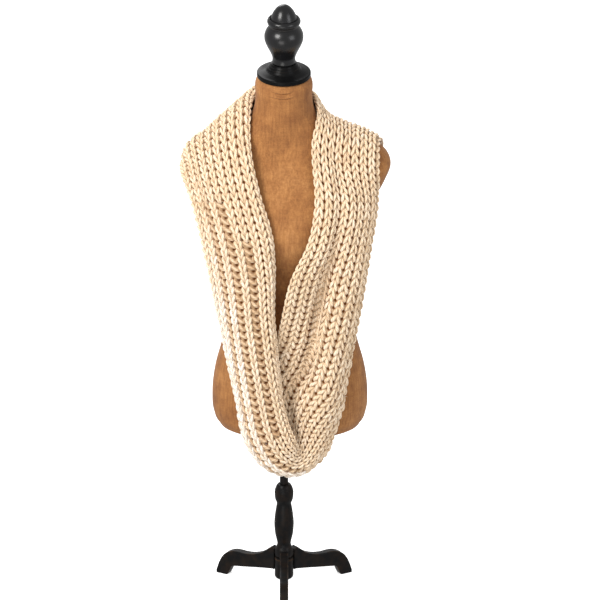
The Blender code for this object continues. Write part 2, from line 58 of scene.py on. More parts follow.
# The form, in mm: height, half width, depth in front of the pole, depth behind it; squareness.
FORM_LEVELS = (
    (327, 107, 68, 76, 2.1),
    (330, 120, 78, 87, 2.1),
    (341, 134, 87, 99, 2.1),
    (362, 143, 92, 107, 2.1),
    (395, 145.5, 94, 111, 2.1),
    (445, 140.5, 90, 106, 2.1),
    (500, 126.5, 83, 93, 2.1),
    (560, 112, 79, 79, 2.1),
    (605, 107, 80, 73, 2.1),
    (655, 113, 92, 77, 2.15),
    (705, 126, 111, 86, 2.2),
    (745, 137, 119, 92, 2.2),
    (785, 154, 111, 96, 2.2),
    (825, 178, 93, 96, 2.2),
    (862, 191, 72, 88, 2.25),
    (880, 184, 62, 80, 2.25),
    (897, 165, 56, 73, 2.25),
    (913, 134, 52, 67, 2.2),
    (929, 98, 50, 62, 2.15),
    (945, 71, 49, 58, 2.1),
    (965, 57, 49, 55, 2.1),
    (990, 53, 49, 53, 2.1),
    (1022, 52.4, 49, 52.5, 2.1),
    (1030, 49, 46, 49.5, 2.1),
)
# Fine creases across the front of the neck, in mm: middle height, half length, sag and depth.
NECK_CREASES = ((1011.5, 21, 3.0, 2.6), (1001.0, 24, 3.6, 2.2), (1006, 10, 1.0, 0.9))
CREASE_WIDTH = 1.5
CREASE_MIDDLE = -3
HIP_SHIFT = 11 * MM
CAP_TILT = math.radians(4)
FORM_SIDES, FORM_RINGS, NECK_RINGS = 160, 220, 40
# The coarser form that the band is laid on.
COARSE_SIDES, COARSE_RINGS = 34, 32

# The band, in mm: name, inner edge, crease, outer edge; the crease's share; the two bows.
BAND_SECTIONS = (
    ("back_centre", (0, 62, 984), (0, 72, 996), (0, 112, 796), 0.08, 1, 6),
    ("back_left", (-36, 49, 984), (-42, 58, 996), (-106, 100, 806), 0.08, 1, 8),
    ("shoulder_left_back", (-54, 23, 979), (-62, 29, 989), (-174, 58, 830), 0.08, 1, 13),
    ("shoulder_left", (-60, -4, 965), (-67, -8, 977), (-189, 8, 854), 0.08, 1, 13),
    ("collarbone_left", (-64, -62, 908), (-69, -79, 901), (-190, -28, 846), 0.10, 1, 14),
    ("chest_left", (-46, -100, 832), (-51, -117, 828), (-171, -60, 800), 0.11, 1, 18),
    ("bust_left", (-23, -123, 759), (-29, -140, 756), (-153, -80, 731), 0.12, 1, 18),
    ("ribs_left", (-18, -121, 679), (-24, -141, 677), (-137, -92, 655), 0.13, 1, 20),
    ("waist_left", (-20, -119, 600), (-26, -141, 597), (-121, -97, 576), 0.14, 1, 22),
    ("belly_left", (-13, -121, 520), (-19, -143, 518), (-105, -102, 499), 0.15, 1, 24),
    ("hip_left", (-6, -125, 445), (-12, -148, 438), (-88, -108, 421), 0.17, 1, 26),
    ("low_left", (8, -140, 386), (4, -153, 374), (-68, -114, 331), 0.12, 1, 26),
    ("turn_left", (24, -146, 348), (18, -151, 337), (-25, -110, 280), 0.12, 1, 24),
    ("turn", (27, -132, 342), (28, -135, 328), (31, -104, 269), 0.16, 1, 20),
    ("turn_right", (13, -114, 374), (23, -116, 359), (73, -104, 301), 0.20, 1, 18),
    ("low_right", (-8, -101, 438), (16, -103, 424), (94, -101, 351), 0.30, 0, 26),
    ("hip_right", (-14, -101, 496), (42, -96, 478), (111, -96, 410), 0.39, 1, 33),
    ("belly_right", (-10, -110, 544), (54, -91, 534), (122, -92, 483), 0.40, 2, 33),
    ("waist_right", (-1, -122, 598), (61, -92, 593), (136, -88, 556), 0.40, 5, 33),
    ("ribs_right", (15, -134, 675), (74, -104, 668), (151, -82, 642), 0.40, 8, 26),
    ("bust_right", (49, -130, 752), (96, -111, 749), (164, -72, 728), 0.36, 6, 14),
    ("chest_right", (60, -106, 827), (103, -100, 819), (175, -51, 796), 0.34, 3, 8),
    ("collarbone_right", (53, -64, 900), (100, -62, 874), (171, -42, 858), 0.34, 3, 5),
    ("shoulder_right", (57, -6, 968), (84, -4, 936), (170, 4, 892), 0.32, 2, 4),
    ("shoulder_right_back", (56, 27, 984), (72, 30, 950), (160, 60, 828), 0.24, 2, 8),
    ("back_right", (37, 50, 984), (44, 58, 974), (104, 100, 806), 0.14, 2, 6),
)
NAMES = [row[0] for row in BAND_SECTIONS]
# name, first section, last section
STRETCHES = (
    ("scarf_shoulder_left", "back_centre", "chest_left"),
    ("scarf_front_left", "chest_left", "low_left"),
    ("scarf_turn", "low_left", "low_right"),
    ("scarf_front_right", "low_right", "chest_right"),
    ("scarf_shoulder_right", "chest_right", "back_centre"),
)
WALL = 10 * MM
INNER_GAP = 1 * MM
# The knit in the fold at the bottom: the share of its thickness that it keeps at the inner edge,
# and how far round the loop and across the band it is squeezed.
SQUEEZED_TO, SQUEEZE_LENGTH, SQUEEZE_REACH = 0.25, 85 * MM, 0.55
GRID_ROWS, GRID_ACROSS = 300, 96
# Rounds that ease the band across the crease and along the loop.
ROUNDED_ACROSS, ROUNDED_ALONG = 34, 10
# Steps in which the band is laid on the form, and how many of them are eased.
LAYING_STEPS, EASED_STEPS = 14, 12
LENGTH_SAMPLES = 160
# The flat width of the band, and what shows of it in the fold at the bottom.
FLAT_WIDTH, FOLDED_WIDTH = 0.15, 0.105

# The knit
COLUMNS = 10
PITCH = 15.2 * MM
SEAM_GAP = 0.35 * MM
ARM_RINGS, ARM_SIDES = 10, 8
BUMP_RINGS, BUMP_SIDES = 6, 6
EDGE_ARM_WIDTH = 14 * MM
PLY_LENGTH = 20 * MM
# Steps of the thin ground behind the stitches: along a stitch, across it, and across it inside.
STEPS_ALONG, STEPS_ACROSS, STEPS_INSIDE = 6, 8, 2
# The ground's heights in mm: its faces, its pits, a purl column and its least wall.
GROUND_OUT, GROUND_IN, PIT_DEPTH, PURL_DEPTH, LEAST_WALL = 0.7, -3.9, 3.2, 1.6, 0.6
# Where the fringe begins across the band, and how many times more loose fibres grow there.
FRINGE_FROM, FRINGE = 0.93, 14.0
# The numbers that columns can have where they drift: from the first, to before the second.
COLUMNS_THAT_SHOW = (-6, COLUMNS + 2)
# How wide each column of stitches is beside the others, from the inner edge, on the left.
COLUMN_WIDTHS = (0.95, 1.0, 1.05, 0.92, 1.08, 0.95, 1.12, 0.72, 1.10, 1.11)
# The columns drift across the band near the fold at the bottom, where the ribs fan out from the
# crease: section, the column at the inner edge, and how many columns lie across the band.
DRIFT = (
    ("back_centre", 0.0, 10.0),
    ("belly_left", 0.0, 10.0),
    ("hip_left", 0.3, 9.7),
    ("low_left", 0.9, 9.1),
    ("turn_left", 1.5, 8.4),
    ("turn", 0.9, 8.2),
    ("turn_right", -0.6, 8.2),
    ("low_right", -2.4, 8.4),
    ("hip_right", -4.0, 8.5),
    ("belly_right", -4.8, 8.5),
    ("waist_right", -5.0, 8.4),
    ("shoulder_right_back", -5.0, 8.4),
    ("back_right", -5.0, 9.4),
)
# Columns that show their purl side: column, first section, last section.
PURL_COLUMNS = ((3, "bust_left", "low_left"), (5, "chest_left", "turn"),
                (7, "chest_left", "turn_right"))
# The valley beside the inner strip of the right panel: section, depth in mm, and how far towards
# the outer edge it lies from the crease, as a share of the band.
VALLEY = (
    ("turn", 0.0, -0.08),
    ("turn_right", 3.5, -0.09),
    ("low_right", 7.0, -0.085),
    ("hip_right", 8.0, -0.07),
    ("belly_right", 8.0, -0.06),
    ("waist_right", 7.0, -0.06),
    ("ribs_right", 5.5, -0.03),
    ("chest_right", 3.5, 0.0),
    ("collarbone_right", 2.0, 0.0),
    ("shoulder_right", 0.0, 0.0),
)
VALLEY_WIDTH = 0.075
# Soft folds: height in mm, waves across the band, waves round the loop and where they begin.
SOFT_FOLDS = ((0.8, 1.4, 2.0, 0.2), (0.6, 0.8, -7.0, 0.4))
# Where the band hangs clear of the form, so that its inner face follows the valley.
HANGS_CLEAR = (("turn_right", 0.0), ("low_right", 0.9), ("waist_right", 0.7), ("ribs_right", 0.2),
               ("bust_right", 0.0))


# ---------------------------------------------------------------- shared shapes

def smooth_rows(keys, rows, at, period=None):
    """A smooth curve through rows of numbers: one row for each key, read at the places in at."""
    keys = np.asarray(keys, float)
    rows = np.asarray(rows, float)
    if period is not None:
        keys = np.concatenate([keys[-2:] - period, keys, keys[:2] + period])
        rows = np.concatenate([rows[-2:], rows, rows[:2]])
    slopes = np.empty_like(rows)
    gaps = np.diff(keys)[:, None]
    steps = np.diff(rows, axis=0) / gaps
    slopes[1:-1] = (steps[:-1] * gaps[1:] + steps[1:] * gaps[:-1]) / (gaps[1:] + gaps[:-1])
    slopes[0] = steps[0]
    slopes[-1] = steps[-1]
    i = np.clip(np.searchsorted(keys, at, side="right") - 1, 0, len(keys) - 2)
    h = (keys[i + 1] - keys[i])[:, None]
    t = (np.asarray(at, float) - keys[i])[:, None] / h
    pull = t * (1 - t)
    return (rows[i] + (rows[i + 1] - rows[i]) * t * t * (3 - 2 * t)
            + slopes[i] * h * pull * (1 - t) - slopes[i + 1] * h * pull * t)


def form_section(heights, sides):
    """The form's outline at each height about the pole, as height by side by xyz."""
    table = np.array(FORM_LEVELS, float)
    half, front, back, square = smooth_rows(table[:, 0] * MM, table[:, 1:], heights).T[:, :, None]
    angles = np.linspace(0, 2 * math.pi, sides, endpoint=False)[None, :]
    across, ahead = np.cos(angles), np.sin(angles)
    depth = np.where(ahead < 0, front, back) * MM
    x = np.sign(across) * np.abs(across) ** (2 / square) * half * MM
    y = np.sign(ahead) * np.abs(ahead) ** (2 / square) * depth
    neck = np.clip((heights - 0.80) / 0.17, 0, 1)[:, None]
    top = np.clip((heights - 0.97) / 0.05, 0, 1)[:, None]
    x = x + HIP_SHIFT * (1 - neck * neck * (3 - 2 * neck))
    z = heights[:, None] + math.tan(CAP_TILT) * y * top
    return np.stack([x, y, z], axis=2)


def form_heights(count):
    """Heights from the form's foot to its top, closer where its outline turns."""
    table = np.array(FORM_LEVELS, float) * MM
    turn = np.linalg.norm(np.diff(table[:, :4], axis=0), axis=1)
    along = np.concatenate([[0], np.cumsum(turn)])
    return np.interp(np.linspace(0, along[-1], count), along, table[:, 0])


def unit(vectors):
    """The vectors at length 1."""
    return vectors / np.maximum(np.linalg.norm(vectors, axis=-1, keepdims=True), 1e-12)


def linked(name, data):
    """A new object in the scene."""
    obj = bpy.data.objects.new(name, data)
    bpy.context.scene.collection.objects.link(obj)
    return obj


def mesh_object(name, points, faces, finish):
    mesh = bpy.data.meshes.new(name)
    mesh.from_pydata([tuple(p) for p in points], [], faces)
    mesh.update()
    mesh.shade_smooth()
    mesh.materials.append(finish)
    return linked(name, mesh)


def ring_faces(rings, sides, turned=False):
    """Faces between closed rings of points, then a cap for each end.

    Turned faces look the other way.
    """
    faces = []
    for i in range(rings - 1):
        low, high = i * sides, (i + 1) * sides
        for j in range(sides):
            k = (j + 1) % sides
            a, b = (k, j) if turned else (j, k)
            faces.append((low + a, low + b, high + b, high + a))
    first = tuple(range(sides))
    last = tuple((rings - 1) * sides + j for j in range(sides))
    return faces + ([first, last[::-1]] if turned else [first[::-1], last])


def add_layer(mesh, label, kind, values):
    """Stores a value on every point of a mesh."""
    field = {"FLOAT": "value", "FLOAT_VECTOR": "vector", "FLOAT_COLOR": "color"}[kind]
    layers = mesh.color_attributes if kind == "FLOAT_COLOR" else mesh.attributes
    layer = layers.new(label, kind, "POINT")
    layer.data.foreach_set(field, np.asarray(values, np.float32).ravel())


# ---------------------------------------------------------------- the band

def bowed(start, end, outward, bow, shares):
    """Lines from start to end that rise outward in the middle by the bow."""
    shares = shares[None, :, None]
    rise = (4 * shares * (1 - shares)) * bow[:, None, None]
    return start[:, None] * (1 - shares) + end[:, None] * shares + outward[:, None] * rise


def evenly_across(lines, count):
    """Each line again, with points at even steps of its length."""
    steps = np.linalg.norm(np.diff(lines, axis=1), axis=2)
    along = np.concatenate([np.zeros((len(lines), 1)), np.cumsum(steps, axis=1)], axis=1)
    made = np.empty((len(lines), count, 3))
    for i, line in enumerate(lines):
        at = np.linspace(0, along[i, -1], count)
        for k in range(3):
            made[i, :, k] = np.interp(at, along[i], line[:, k])
    return made


def section_keys():
    """How far round the loop each section lies, and the length of the loop."""
    middles = np.array([(np.array(row[2]) + np.array(row[3])) / 2 for row in BAND_SECTIONS]) * MM
    steps = np.linalg.norm(np.roll(middles, -1, axis=0) - middles, axis=1)
    return np.concatenate([[0], np.cumsum(steps)[:-1]]), steps.sum()


def free_band():
    """The band's middle surface through its sections, as row by point across by xyz."""
    keys, period = section_keys()
    rows = [[*inner, *crease, *outer, at, in_bow, out_bow]
            for _, inner, crease, outer, at, in_bow, out_bow in BAND_SECTIONS]
    places = np.linspace(0, period, GRID_ROWS, endpoint=False)
    made = smooth_rows(keys, rows, places, period)
    inner, crease, outer = (made[:, i:i + 3] * MM for i in (0, 3, 6))
    in_bow, out_bow = made[:, 10] * MM, made[:, 11] * MM
    middle = (crease + outer) / 2
    along = unit(np.roll(middle, -1, axis=0) - np.roll(middle, 1, axis=0))
    out_part = unit(np.cross(outer - crease, along))
    in_part = unit(np.cross(crease - inner, along))
    shares = np.linspace(0, 1, GRID_ACROSS // 2)
    front = bowed(crease, outer, out_part, out_bow, shares)
    under = bowed(inner, crease, in_part, in_bow, shares)
    lines = evenly_across(np.concatenate([under[:, :-1], front], axis=1), GRID_ACROSS + 1)
    for _ in range(ROUNDED_ACROSS):
        lines[:, 1:-1] = (lines[:, :-2] + 2 * lines[:, 1:-1] + lines[:, 2:]) / 4
    for _ in range(ROUNDED_ALONG):
        lines = (np.roll(lines, 1, axis=0) + 2 * lines + np.roll(lines, -1, axis=0)) / 4
    return evenly_across(lines, GRID_ACROSS + 1)


def eased_over(field, rounds):
    """A field over the band, spread a little to its neighbours in each round."""
    for _ in range(rounds):
        field = (np.roll(field, 1, axis=0) + 2 * field + np.roll(field, -1, axis=0)) / 4
        wide = np.concatenate([field[:, :1], field, field[:, -1:]], axis=1)
        field = (wide[:, :-2] + 2 * wide[:, 1:-1] + wide[:, 2:]) / 4
    return field


def laid_on(band, tree):
    """The band moved out of the form, so that its inner face clears it by the gap."""
    clear = WALL / 2 + INNER_GAP
    for step in range(LAYING_STEPS):
        push = np.zeros_like(band)
        for i, line in enumerate(band):
            for j, point in enumerate(line):
                place, normal, _, near = tree.find_nearest(Vector(point))
                away = (Vector(point) - place).dot(normal)
                depth = clear - (near if away > 0 else -near)
                if depth > 0:
                    push[i, j] = np.array(normal) * depth
        if step < EASED_STEPS:
            push = eased_over(push, 3) * 1.25
        band = band + push
    return band


class Band:
    """The scarf's middle surface, read by turn (0 to 1 round the loop) and across (0 to 1)."""

    def __init__(self, points):
        self.points = points
        along = np.roll(points, -1, axis=0) - np.roll(points, 1, axis=0)
        across = np.gradient(points, axis=1)
        self.facing = unit(np.cross(across, along))
        self.per_turn = np.linalg.norm(along, axis=2, keepdims=True) / 2 * len(points)
        self.per_across = np.linalg.norm(across, axis=2, keepdims=True) * GRID_ACROSS

    def read(self, field, turn, across):
        """A field of the band's points, read between them."""
        rows, columns = len(field), field.shape[1] - 1
        r = (turn % 1.0) * rows
        c = np.clip(across, 0, 1) * columns
        i = np.floor(r).astype(int) % rows
        j = np.minimum(np.floor(c).astype(int), columns - 1)
        fr = (r - np.floor(r))[..., None]
        fc = (c - j)[..., None]
        k = (i + 1) % rows
        low = field[i, j] * (1 - fc) + field[i, j + 1] * fc
        high = field[k, j] * (1 - fc) + field[k, j + 1] * fc
        return low * (1 - fr) + high * fr

    def at(self, turn, across, height):
        """Places at a height in m over the middle surface."""
        place = self.read(self.points, turn, across)
        facing = unit(self.read(self.facing, turn, across))
        return place + facing * height[..., None]

    def walked(self, turns, across):
        """How far along one column each place is, from the first."""
        points = self.at(turns, np.full_like(turns, across), np.zeros_like(turns))
        return np.concatenate([[0], np.cumsum(np.linalg.norm(np.diff(points, axis=0), axis=1))])


KEYS, PERIOD = section_keys()


def mark(name):
    """The turn at which a section lies."""
    return KEYS[NAMES.index(name)] / PERIOD


def wall_share(turns, across):
    """How much of its thickness the knit keeps: less near the inner edge in the bottom fold."""
    away = np.abs(turns % 1.0 - mark("turn")) * PERIOD / SQUEEZE_LENGTH
    along = np.cos(np.clip(away, 0, 1) * math.pi / 2) ** 2
    inside = np.cos(np.clip(across / SQUEEZE_REACH, 0, 1) * math.pi / 2) ** 2
    return 1 - (1 - SQUEEZED_TO) * along * inside


def read_marks(table, turn):
    """A value given at some sections, read at any turn. It is zero at the back's centre."""
    keys = [0.0] + [mark(name) for name, _ in table] + [1.0]
    values = [0.0] + [value for _, value in table] + [0.0]
    return np.interp(turn % 1.0, keys, values)


def column_layout(turn):
    """The column at the inner edge, the columns across the band, and the left panel's share."""
    keys = [mark(name) for name, _, _ in DRIFT] + [1.0]
    first = np.interp(turn, keys, [row[1] for row in DRIFT] + [COLUMNS / -2])
    spread = np.interp(turn, keys, [row[2] for row in DRIFT] + [COLUMNS])
    left = np.interp(turn, [mark("low_left"), mark("turn_right")], [1, 0])
    return first, spread, left


COLUMN_EDGES = np.concatenate([[0], np.cumsum(COLUMN_WIDTHS)]) * COLUMNS / sum(COLUMN_WIDTHS)
COLUMN_NUMBERS = np.arange(COLUMNS + 1)


def recounted(columns, old, new):
    """Places in columns, moved from the old edges of the columns to the new ones."""
    inside = (columns > 0) & (columns < COLUMNS)
    return np.where(inside, np.interp(columns, old, new), columns)


def column_place(turn, column):
    """Place across the band of a place counted in columns of stitches."""
    first, spread, left = column_layout(turn)
    uneven = recounted(column, COLUMN_NUMBERS, COLUMN_EDGES)
    return (uneven * left + column * (1 - left) - first) / spread


def column_at(turn, across):
    """The column of stitches at a place across the band."""
    first, spread, left = column_layout(turn)
    even = across * spread + first
    uneven = recounted(even, COLUMN_EDGES, COLUMN_NUMBERS)
    return uneven * left + even * (1 - left)


def crease_share():
    """The crease's place across the band at each section."""
    shares = []
    for _, inner, crease, outer, *_ in BAND_SECTIONS:
        strip = math.dist(inner, crease)
        shares.append(strip / (strip + math.dist(crease, outer)))
    return shares


CREASE_SHARE = crease_share()


def relief(turn, across):
    """Metres that the cloth's face stands out: the valley with its raised lips and soft folds."""
    t = turn % 1.0
    shift = read_marks([(name, moved) for name, _, moved in VALLEY], turn)
    middle = np.interp(t, KEYS / PERIOD, CREASE_SHARE) + 0.01 + shift
    depth = read_marks([(name, deep) for name, deep, _ in VALLEY], turn)
    off = (across - middle) / VALLEY_WIDTH
    valley = -depth * np.exp(-off ** 2) + 0.35 * depth * np.exp(-((np.abs(off) - 2.1) / 0.9) ** 2)
    soft = sum(rise * np.sin(2 * math.pi * (waves * across + rounds * t + begin))
               for rise, waves, rounds, begin in SOFT_FOLDS)
    return (valley + soft * (1 - np.abs(2 * across - 1) ** 4)) * MM


# ---------------------------------------------------------------- node trees

class Value:
    """One output of a node. An expression on values adds its Math nodes to their tree."""

    def __init__(self, maker, socket):
        self.maker, self.socket = maker, socket

    def out(self, name):
        return Value(self.maker, self.socket.node.outputs[name])

    def __add__(self, other):
        return self.maker.sum("ADD", self, other)

    def __mul__(self, other):
        return self.maker.sum("MULTIPLY", self, other)

    def __truediv__(self, other):
        return self.maker.sum("DIVIDE", self, other)

    def __gt__(self, other):
        return self.maker.sum("GREATER_THAN", self, other)

    def __lt__(self, other):
        return self.maker.sum("LESS_THAN", self, other)

    def __rsub__(self, other):
        return self.maker.sum("SUBTRACT", other, self)

    __radd__, __rmul__ = __add__, __mul__


class Maker:
    """Adds nodes to one tree, of a finish or of a shape."""

    def __init__(self, tree):
        self.tree = tree

    def feed(self, socket, value):
        if isinstance(value, Value):
            self.tree.links.new(value.socket, socket)
        elif socket.type == "RGBA" and len(value) == 3:
            socket.default_value = (*value, 1)
        else:
            socket.default_value = value

    def node(self, kind, settings=None, inputs=None, output=0):
        """A node of a kind: its settings first, then its sockets' values or links."""
        node = self.tree.nodes.new(kind)
        for key, value in (settings or {}).items():
            if key == "stops":
                for _ in range(len(value) - 2):
                    node.color_ramp.elements.new(0.5)
                for element, (at, colour) in zip(node.color_ramp.elements, value):
                    element.position, element.color = at, (*colour, 1)
            else:
                setattr(node, key, value)
        for key, value in (inputs or {}).items():
            self.feed(node.inputs[key], value)
        return Value(self, node.outputs[output]) if node.outputs else None

    def sum(self, operation, *values):
        return self.node("ShaderNodeMath", {"operation": operation}, dict(enumerate(values)))

    def vector(self, operation, first, second):
        """Two vectors joined by an operation, or a vector scaled by a number."""
        place = "Scale" if operation == "SCALE" else 1
        return self.node("ShaderNodeVectorMath", {"operation": operation},
                         {0: first, place: second})


class Finish(Maker):
    """A material built round the Principled shader."""

    def __init__(self, name, roughness, sheen=0.0, sheen_roughness=0.5, specular=0.5):
        self.material = bpy.data.materials.new(name)
        self.material.use_nodes = True
        super().__init__(self.material.node_tree)
        self.shader = self.tree.nodes["Principled BSDF"]
        for key, value in (("Roughness", roughness), ("Sheen Weight", sheen),
                           ("Sheen Roughness", sheen_roughness), ("Specular IOR Level", specular)):
            self.feed(self.shader.inputs[key], value)

    def ramp(self, source, *stops):
        return self.node("ShaderNodeValToRGB", {"stops": stops}, {0: source})

    def mix(self, share, first, second, blend="MIX"):
        return self.node("ShaderNodeMix", {"data_type": "RGBA", "blend_type": blend},
                         {0: share, 6: first, 7: second}, output=2)

    def shaded(self, colour, source, low, high, dark, pale):
        """A colour multiplied by a shade, dark where the source is low and pale where high."""
        return self.mix(1.0, colour, self.ramp(source, (low, dark), (high, pale)), "MULTIPLY")

    def noise(self, scale, detail, roughness=0.5, stretch=(1, 1, 1)):
        """Noise on the piece's own coordinates, stretched along the axes."""
        place = self.node("ShaderNodeTexCoord", output="Object")
        sized = self.node("ShaderNodeMapping", {}, {"Vector": place, "Scale": stretch})
        return self.node("ShaderNodeTexNoise", {},
                         {"Vector": sized, "Scale": scale, "Detail": detail,
                          "Roughness": roughness})

    def attribute(self, name, output="Fac"):
        return self.node("ShaderNodeAttribute", {"attribute_name": name}, output=output)

    def bump(self, height, strength, distance, below=None):
        inputs = {"Height": height, "Strength": strength, "Distance": distance}
        if below:
            inputs["Normal"] = below
        return self.node("ShaderNodeBump", {}, inputs)

    def done(self, colour, bump=None):
        self.feed(self.shader.inputs["Base Color"], colour)
        if bump:
            self.feed(self.shader.inputs["Normal"], bump)
        return self.material


class Former(Maker):
    """A Geometry Nodes tree with named sizes, which ends realised and in its finish."""

    KINDS = {int: "NodeSocketInt", float: "NodeSocketFloat"}

    def __init__(self, name, sizes):
        super().__init__(bpy.data.node_groups.new(name, "GeometryNodeTree"))
        sockets = self.tree.interface
        sockets.new_socket("Geometry", in_out="INPUT", socket_type="NodeSocketGeometry")
        for label, size in sizes.items():
            made = sockets.new_socket(label, in_out="INPUT", socket_type=self.KINDS[type(size)])
            made.default_value = size
        sockets.new_socket("Finish", in_out="INPUT", socket_type="NodeSocketMaterial")
        sockets.new_socket("Geometry", in_out="OUTPUT", socket_type="NodeSocketGeometry")
        self.given = self.node("NodeGroupInput")

    def attribute(self, name, kind="FLOAT"):
        return self.node("GeometryNodeInputNamedAttribute", {"data_type": kind}, {"Name": name})

    def stored(self, geometry, name, value, kind="FLOAT", domain="POINT"):
        return self.node("GeometryNodeStoreNamedAttribute", {"data_type": kind, "domain": domain},
                         {"Geometry": geometry, "Name": name, "Value": value})

    def chance(self, low, high, seed, kind="FLOAT"):
        output = {"FLOAT": 1, "FLOAT_VECTOR": 0}[kind]
        first = 2 * output
        return self.node("FunctionNodeRandomValue", {"data_type": kind},
                         {first: low, first + 1: high, "Seed": seed}, output)

    def ends(self, geometry):
        whole = self.node("GeometryNodeRealizeInstances", {}, {"Geometry": geometry})
        smooth = self.node("GeometryNodeSetShadeSmooth", {}, {"Geometry": whole})
        covered = self.node("GeometryNodeSetMaterial", {},
                            {"Geometry": smooth, "Material": self.given.out("Finish")})
        self.node("NodeGroupOutput", {}, {"Geometry": covered})

    def form(self, piece, values, spent=()):
        """Puts the tree's result in the piece as a plain mesh, less the attributes it has used."""
        modifier = piece.modifiers.new(self.tree.name, "NODES")
        modifier.node_group = self.tree
        for item in self.tree.interface.items_tree:
            if item.in_out == "INPUT" and item.name in values:
                modifier[item.identifier] = values[item.name]
        evaluated = piece.evaluated_get(bpy.context.evaluated_depsgraph_get())
        mesh = bpy.data.meshes.new_from_object(evaluated)
        piece.modifiers.clear()
        piece.data = mesh
        mesh.name = piece.name
        mesh.materials.clear()
        mesh.materials.append(values["Finish"])
        mesh.polygons.foreach_set("material_index", np.zeros(len(mesh.polygons), np.int32))
        for name in spent:
            if name in mesh.attributes:
                mesh.attributes.remove(mesh.attributes[name])
        return piece


def yarn_former():
    """Yarn swept along every path of a mesh.

    Each point of a path carries how far the yarn reaches sideways (wide) and outward (thick)
    there, and its length so far in turns of the plies (along).
    """
    former = Former("yarn_sweep", {"Sides": 8})
    sides = former.given.out("Sides")
    vectors = "FLOAT_VECTOR"
    ring = former.node("GeometryNodeCurvePrimitiveCircle", {}, {"Resolution": sides})
    ring = former.stored(ring, "around", former.node("GeometryNodeInputIndex") / sides)
    paths = former.node("GeometryNodeMeshToCurve", {}, {"Mesh": former.given.out("Geometry")})
    paths = former.stored(paths, "middle", former.node("GeometryNodeInputPosition"), vectors)
    tubes = former.node("GeometryNodeCurveToMesh", {},
                        {"Curve": paths, "Profile Curve": ring, "Fill Caps": True})
    around = former.attribute("around")
    angle = around * (2 * math.pi)
    wide = former.vector("SCALE", former.attribute("wide", vectors), former.sum("COSINE", angle))
    thick = former.vector("SCALE", former.attribute("thick", vectors), former.sum("SINE", angle))
    place = former.vector("ADD", former.attribute("middle", vectors),
                          former.vector("ADD", wide, thick))
    tubes = former.node("GeometryNodeSetPosition", {}, {"Geometry": tubes, "Position": place})
    # The last strip of faces round a tube ends at 1 where its next point starts again at 0.
    strip = former.node("GeometryNodeFieldOnDomain", {"domain": "FACE"}, {"Value": around})
    wraps = (around < 1e-4) * (strip * sides > 1.0)
    place = former.node("ShaderNodeCombineXYZ", {},
                        {"X": former.attribute("along"), "Y": around + wraps})
    former.ends(former.stored(tubes, "yarn", place, "FLOAT2", "CORNER"))
    return former


def fibre_former():
    """Loose curved fibres over a shell's outer face, where its attribute shaggy lets them grow."""
    former = Former("loose_fibres", {"Density": 24000.0, "Length": 6 * MM, "Half Width": 0.024,
                                     "Root Height": 2.5 * MM, "Seed": 7})
    given = former.given.out
    shaggy, squeeze = former.attribute("shaggy"), former.attribute("squeeze")
    roots = former.node("GeometryNodeDistributePointsOnFaces", {},
                        {"Mesh": given("Geometry"), "Density": given("Density") * shaggy,
                         "Seed": given("Seed")})
    normal = roots.out("Normal")
    lift = former.vector("SCALE", normal, given("Root Height") * squeeze)
    roots = former.node("GeometryNodeSetPosition", {}, {"Geometry": roots, "Offset": lift})
    line = former.node("GeometryNodeCurveQuadraticBezier", {},
                       {"Resolution": 3, "Start": (0, 0, 0), "Middle": (0, 0, 0.6),
                        "End": (0.45, 0, 0.85)})
    flat = former.node("GeometryNodeCurvePrimitiveLine", {},
                       {"Start": (-1, 0, 0), "End": (1, 0, 0)})
    narrow = former.node("ShaderNodeCombineXYZ", {}, {"X": given("Half Width"), "Y": 1.0, "Z": 1.0})
    flat = former.node("GeometryNodeTransform", {}, {"Geometry": flat, "Scale": narrow})
    strand = former.node("GeometryNodeCurveToMesh", {}, {"Curve": line, "Profile Curve": flat})
    seed = given("Seed")
    lean = former.chance((-1, -1, -1), (1, 1, 1), seed, "FLOAT_VECTOR")
    lean = former.vector("SCALE", lean, 0.85)
    way = former.vector("ADD", former.vector("SCALE", normal, 0.55), lean)
    way = former.vector("ADD", way, former.attribute("outward", "FLOAT_VECTOR"))
    spin = former.chance((0, 0, 0), (0, 0, 2 * math.pi), seed + 1, "FLOAT_VECTOR")
    spin = former.node("FunctionNodeEulerToRotation", {}, {"Euler": spin})
    turned = former.node("FunctionNodeAlignRotationToVector", {"axis": "Z"},
                         {"Rotation": spin, "Vector": way})
    size = former.chance(0.6, 1.4, seed + 2) * given("Length") * squeeze
    strands = former.node("GeometryNodeInstanceOnPoints", {},
                          {"Points": roots, "Instance": strand, "Rotation": turned, "Scale": size})
    former.ends(strands)
    return former


# ---------------------------------------------------------------- finishes

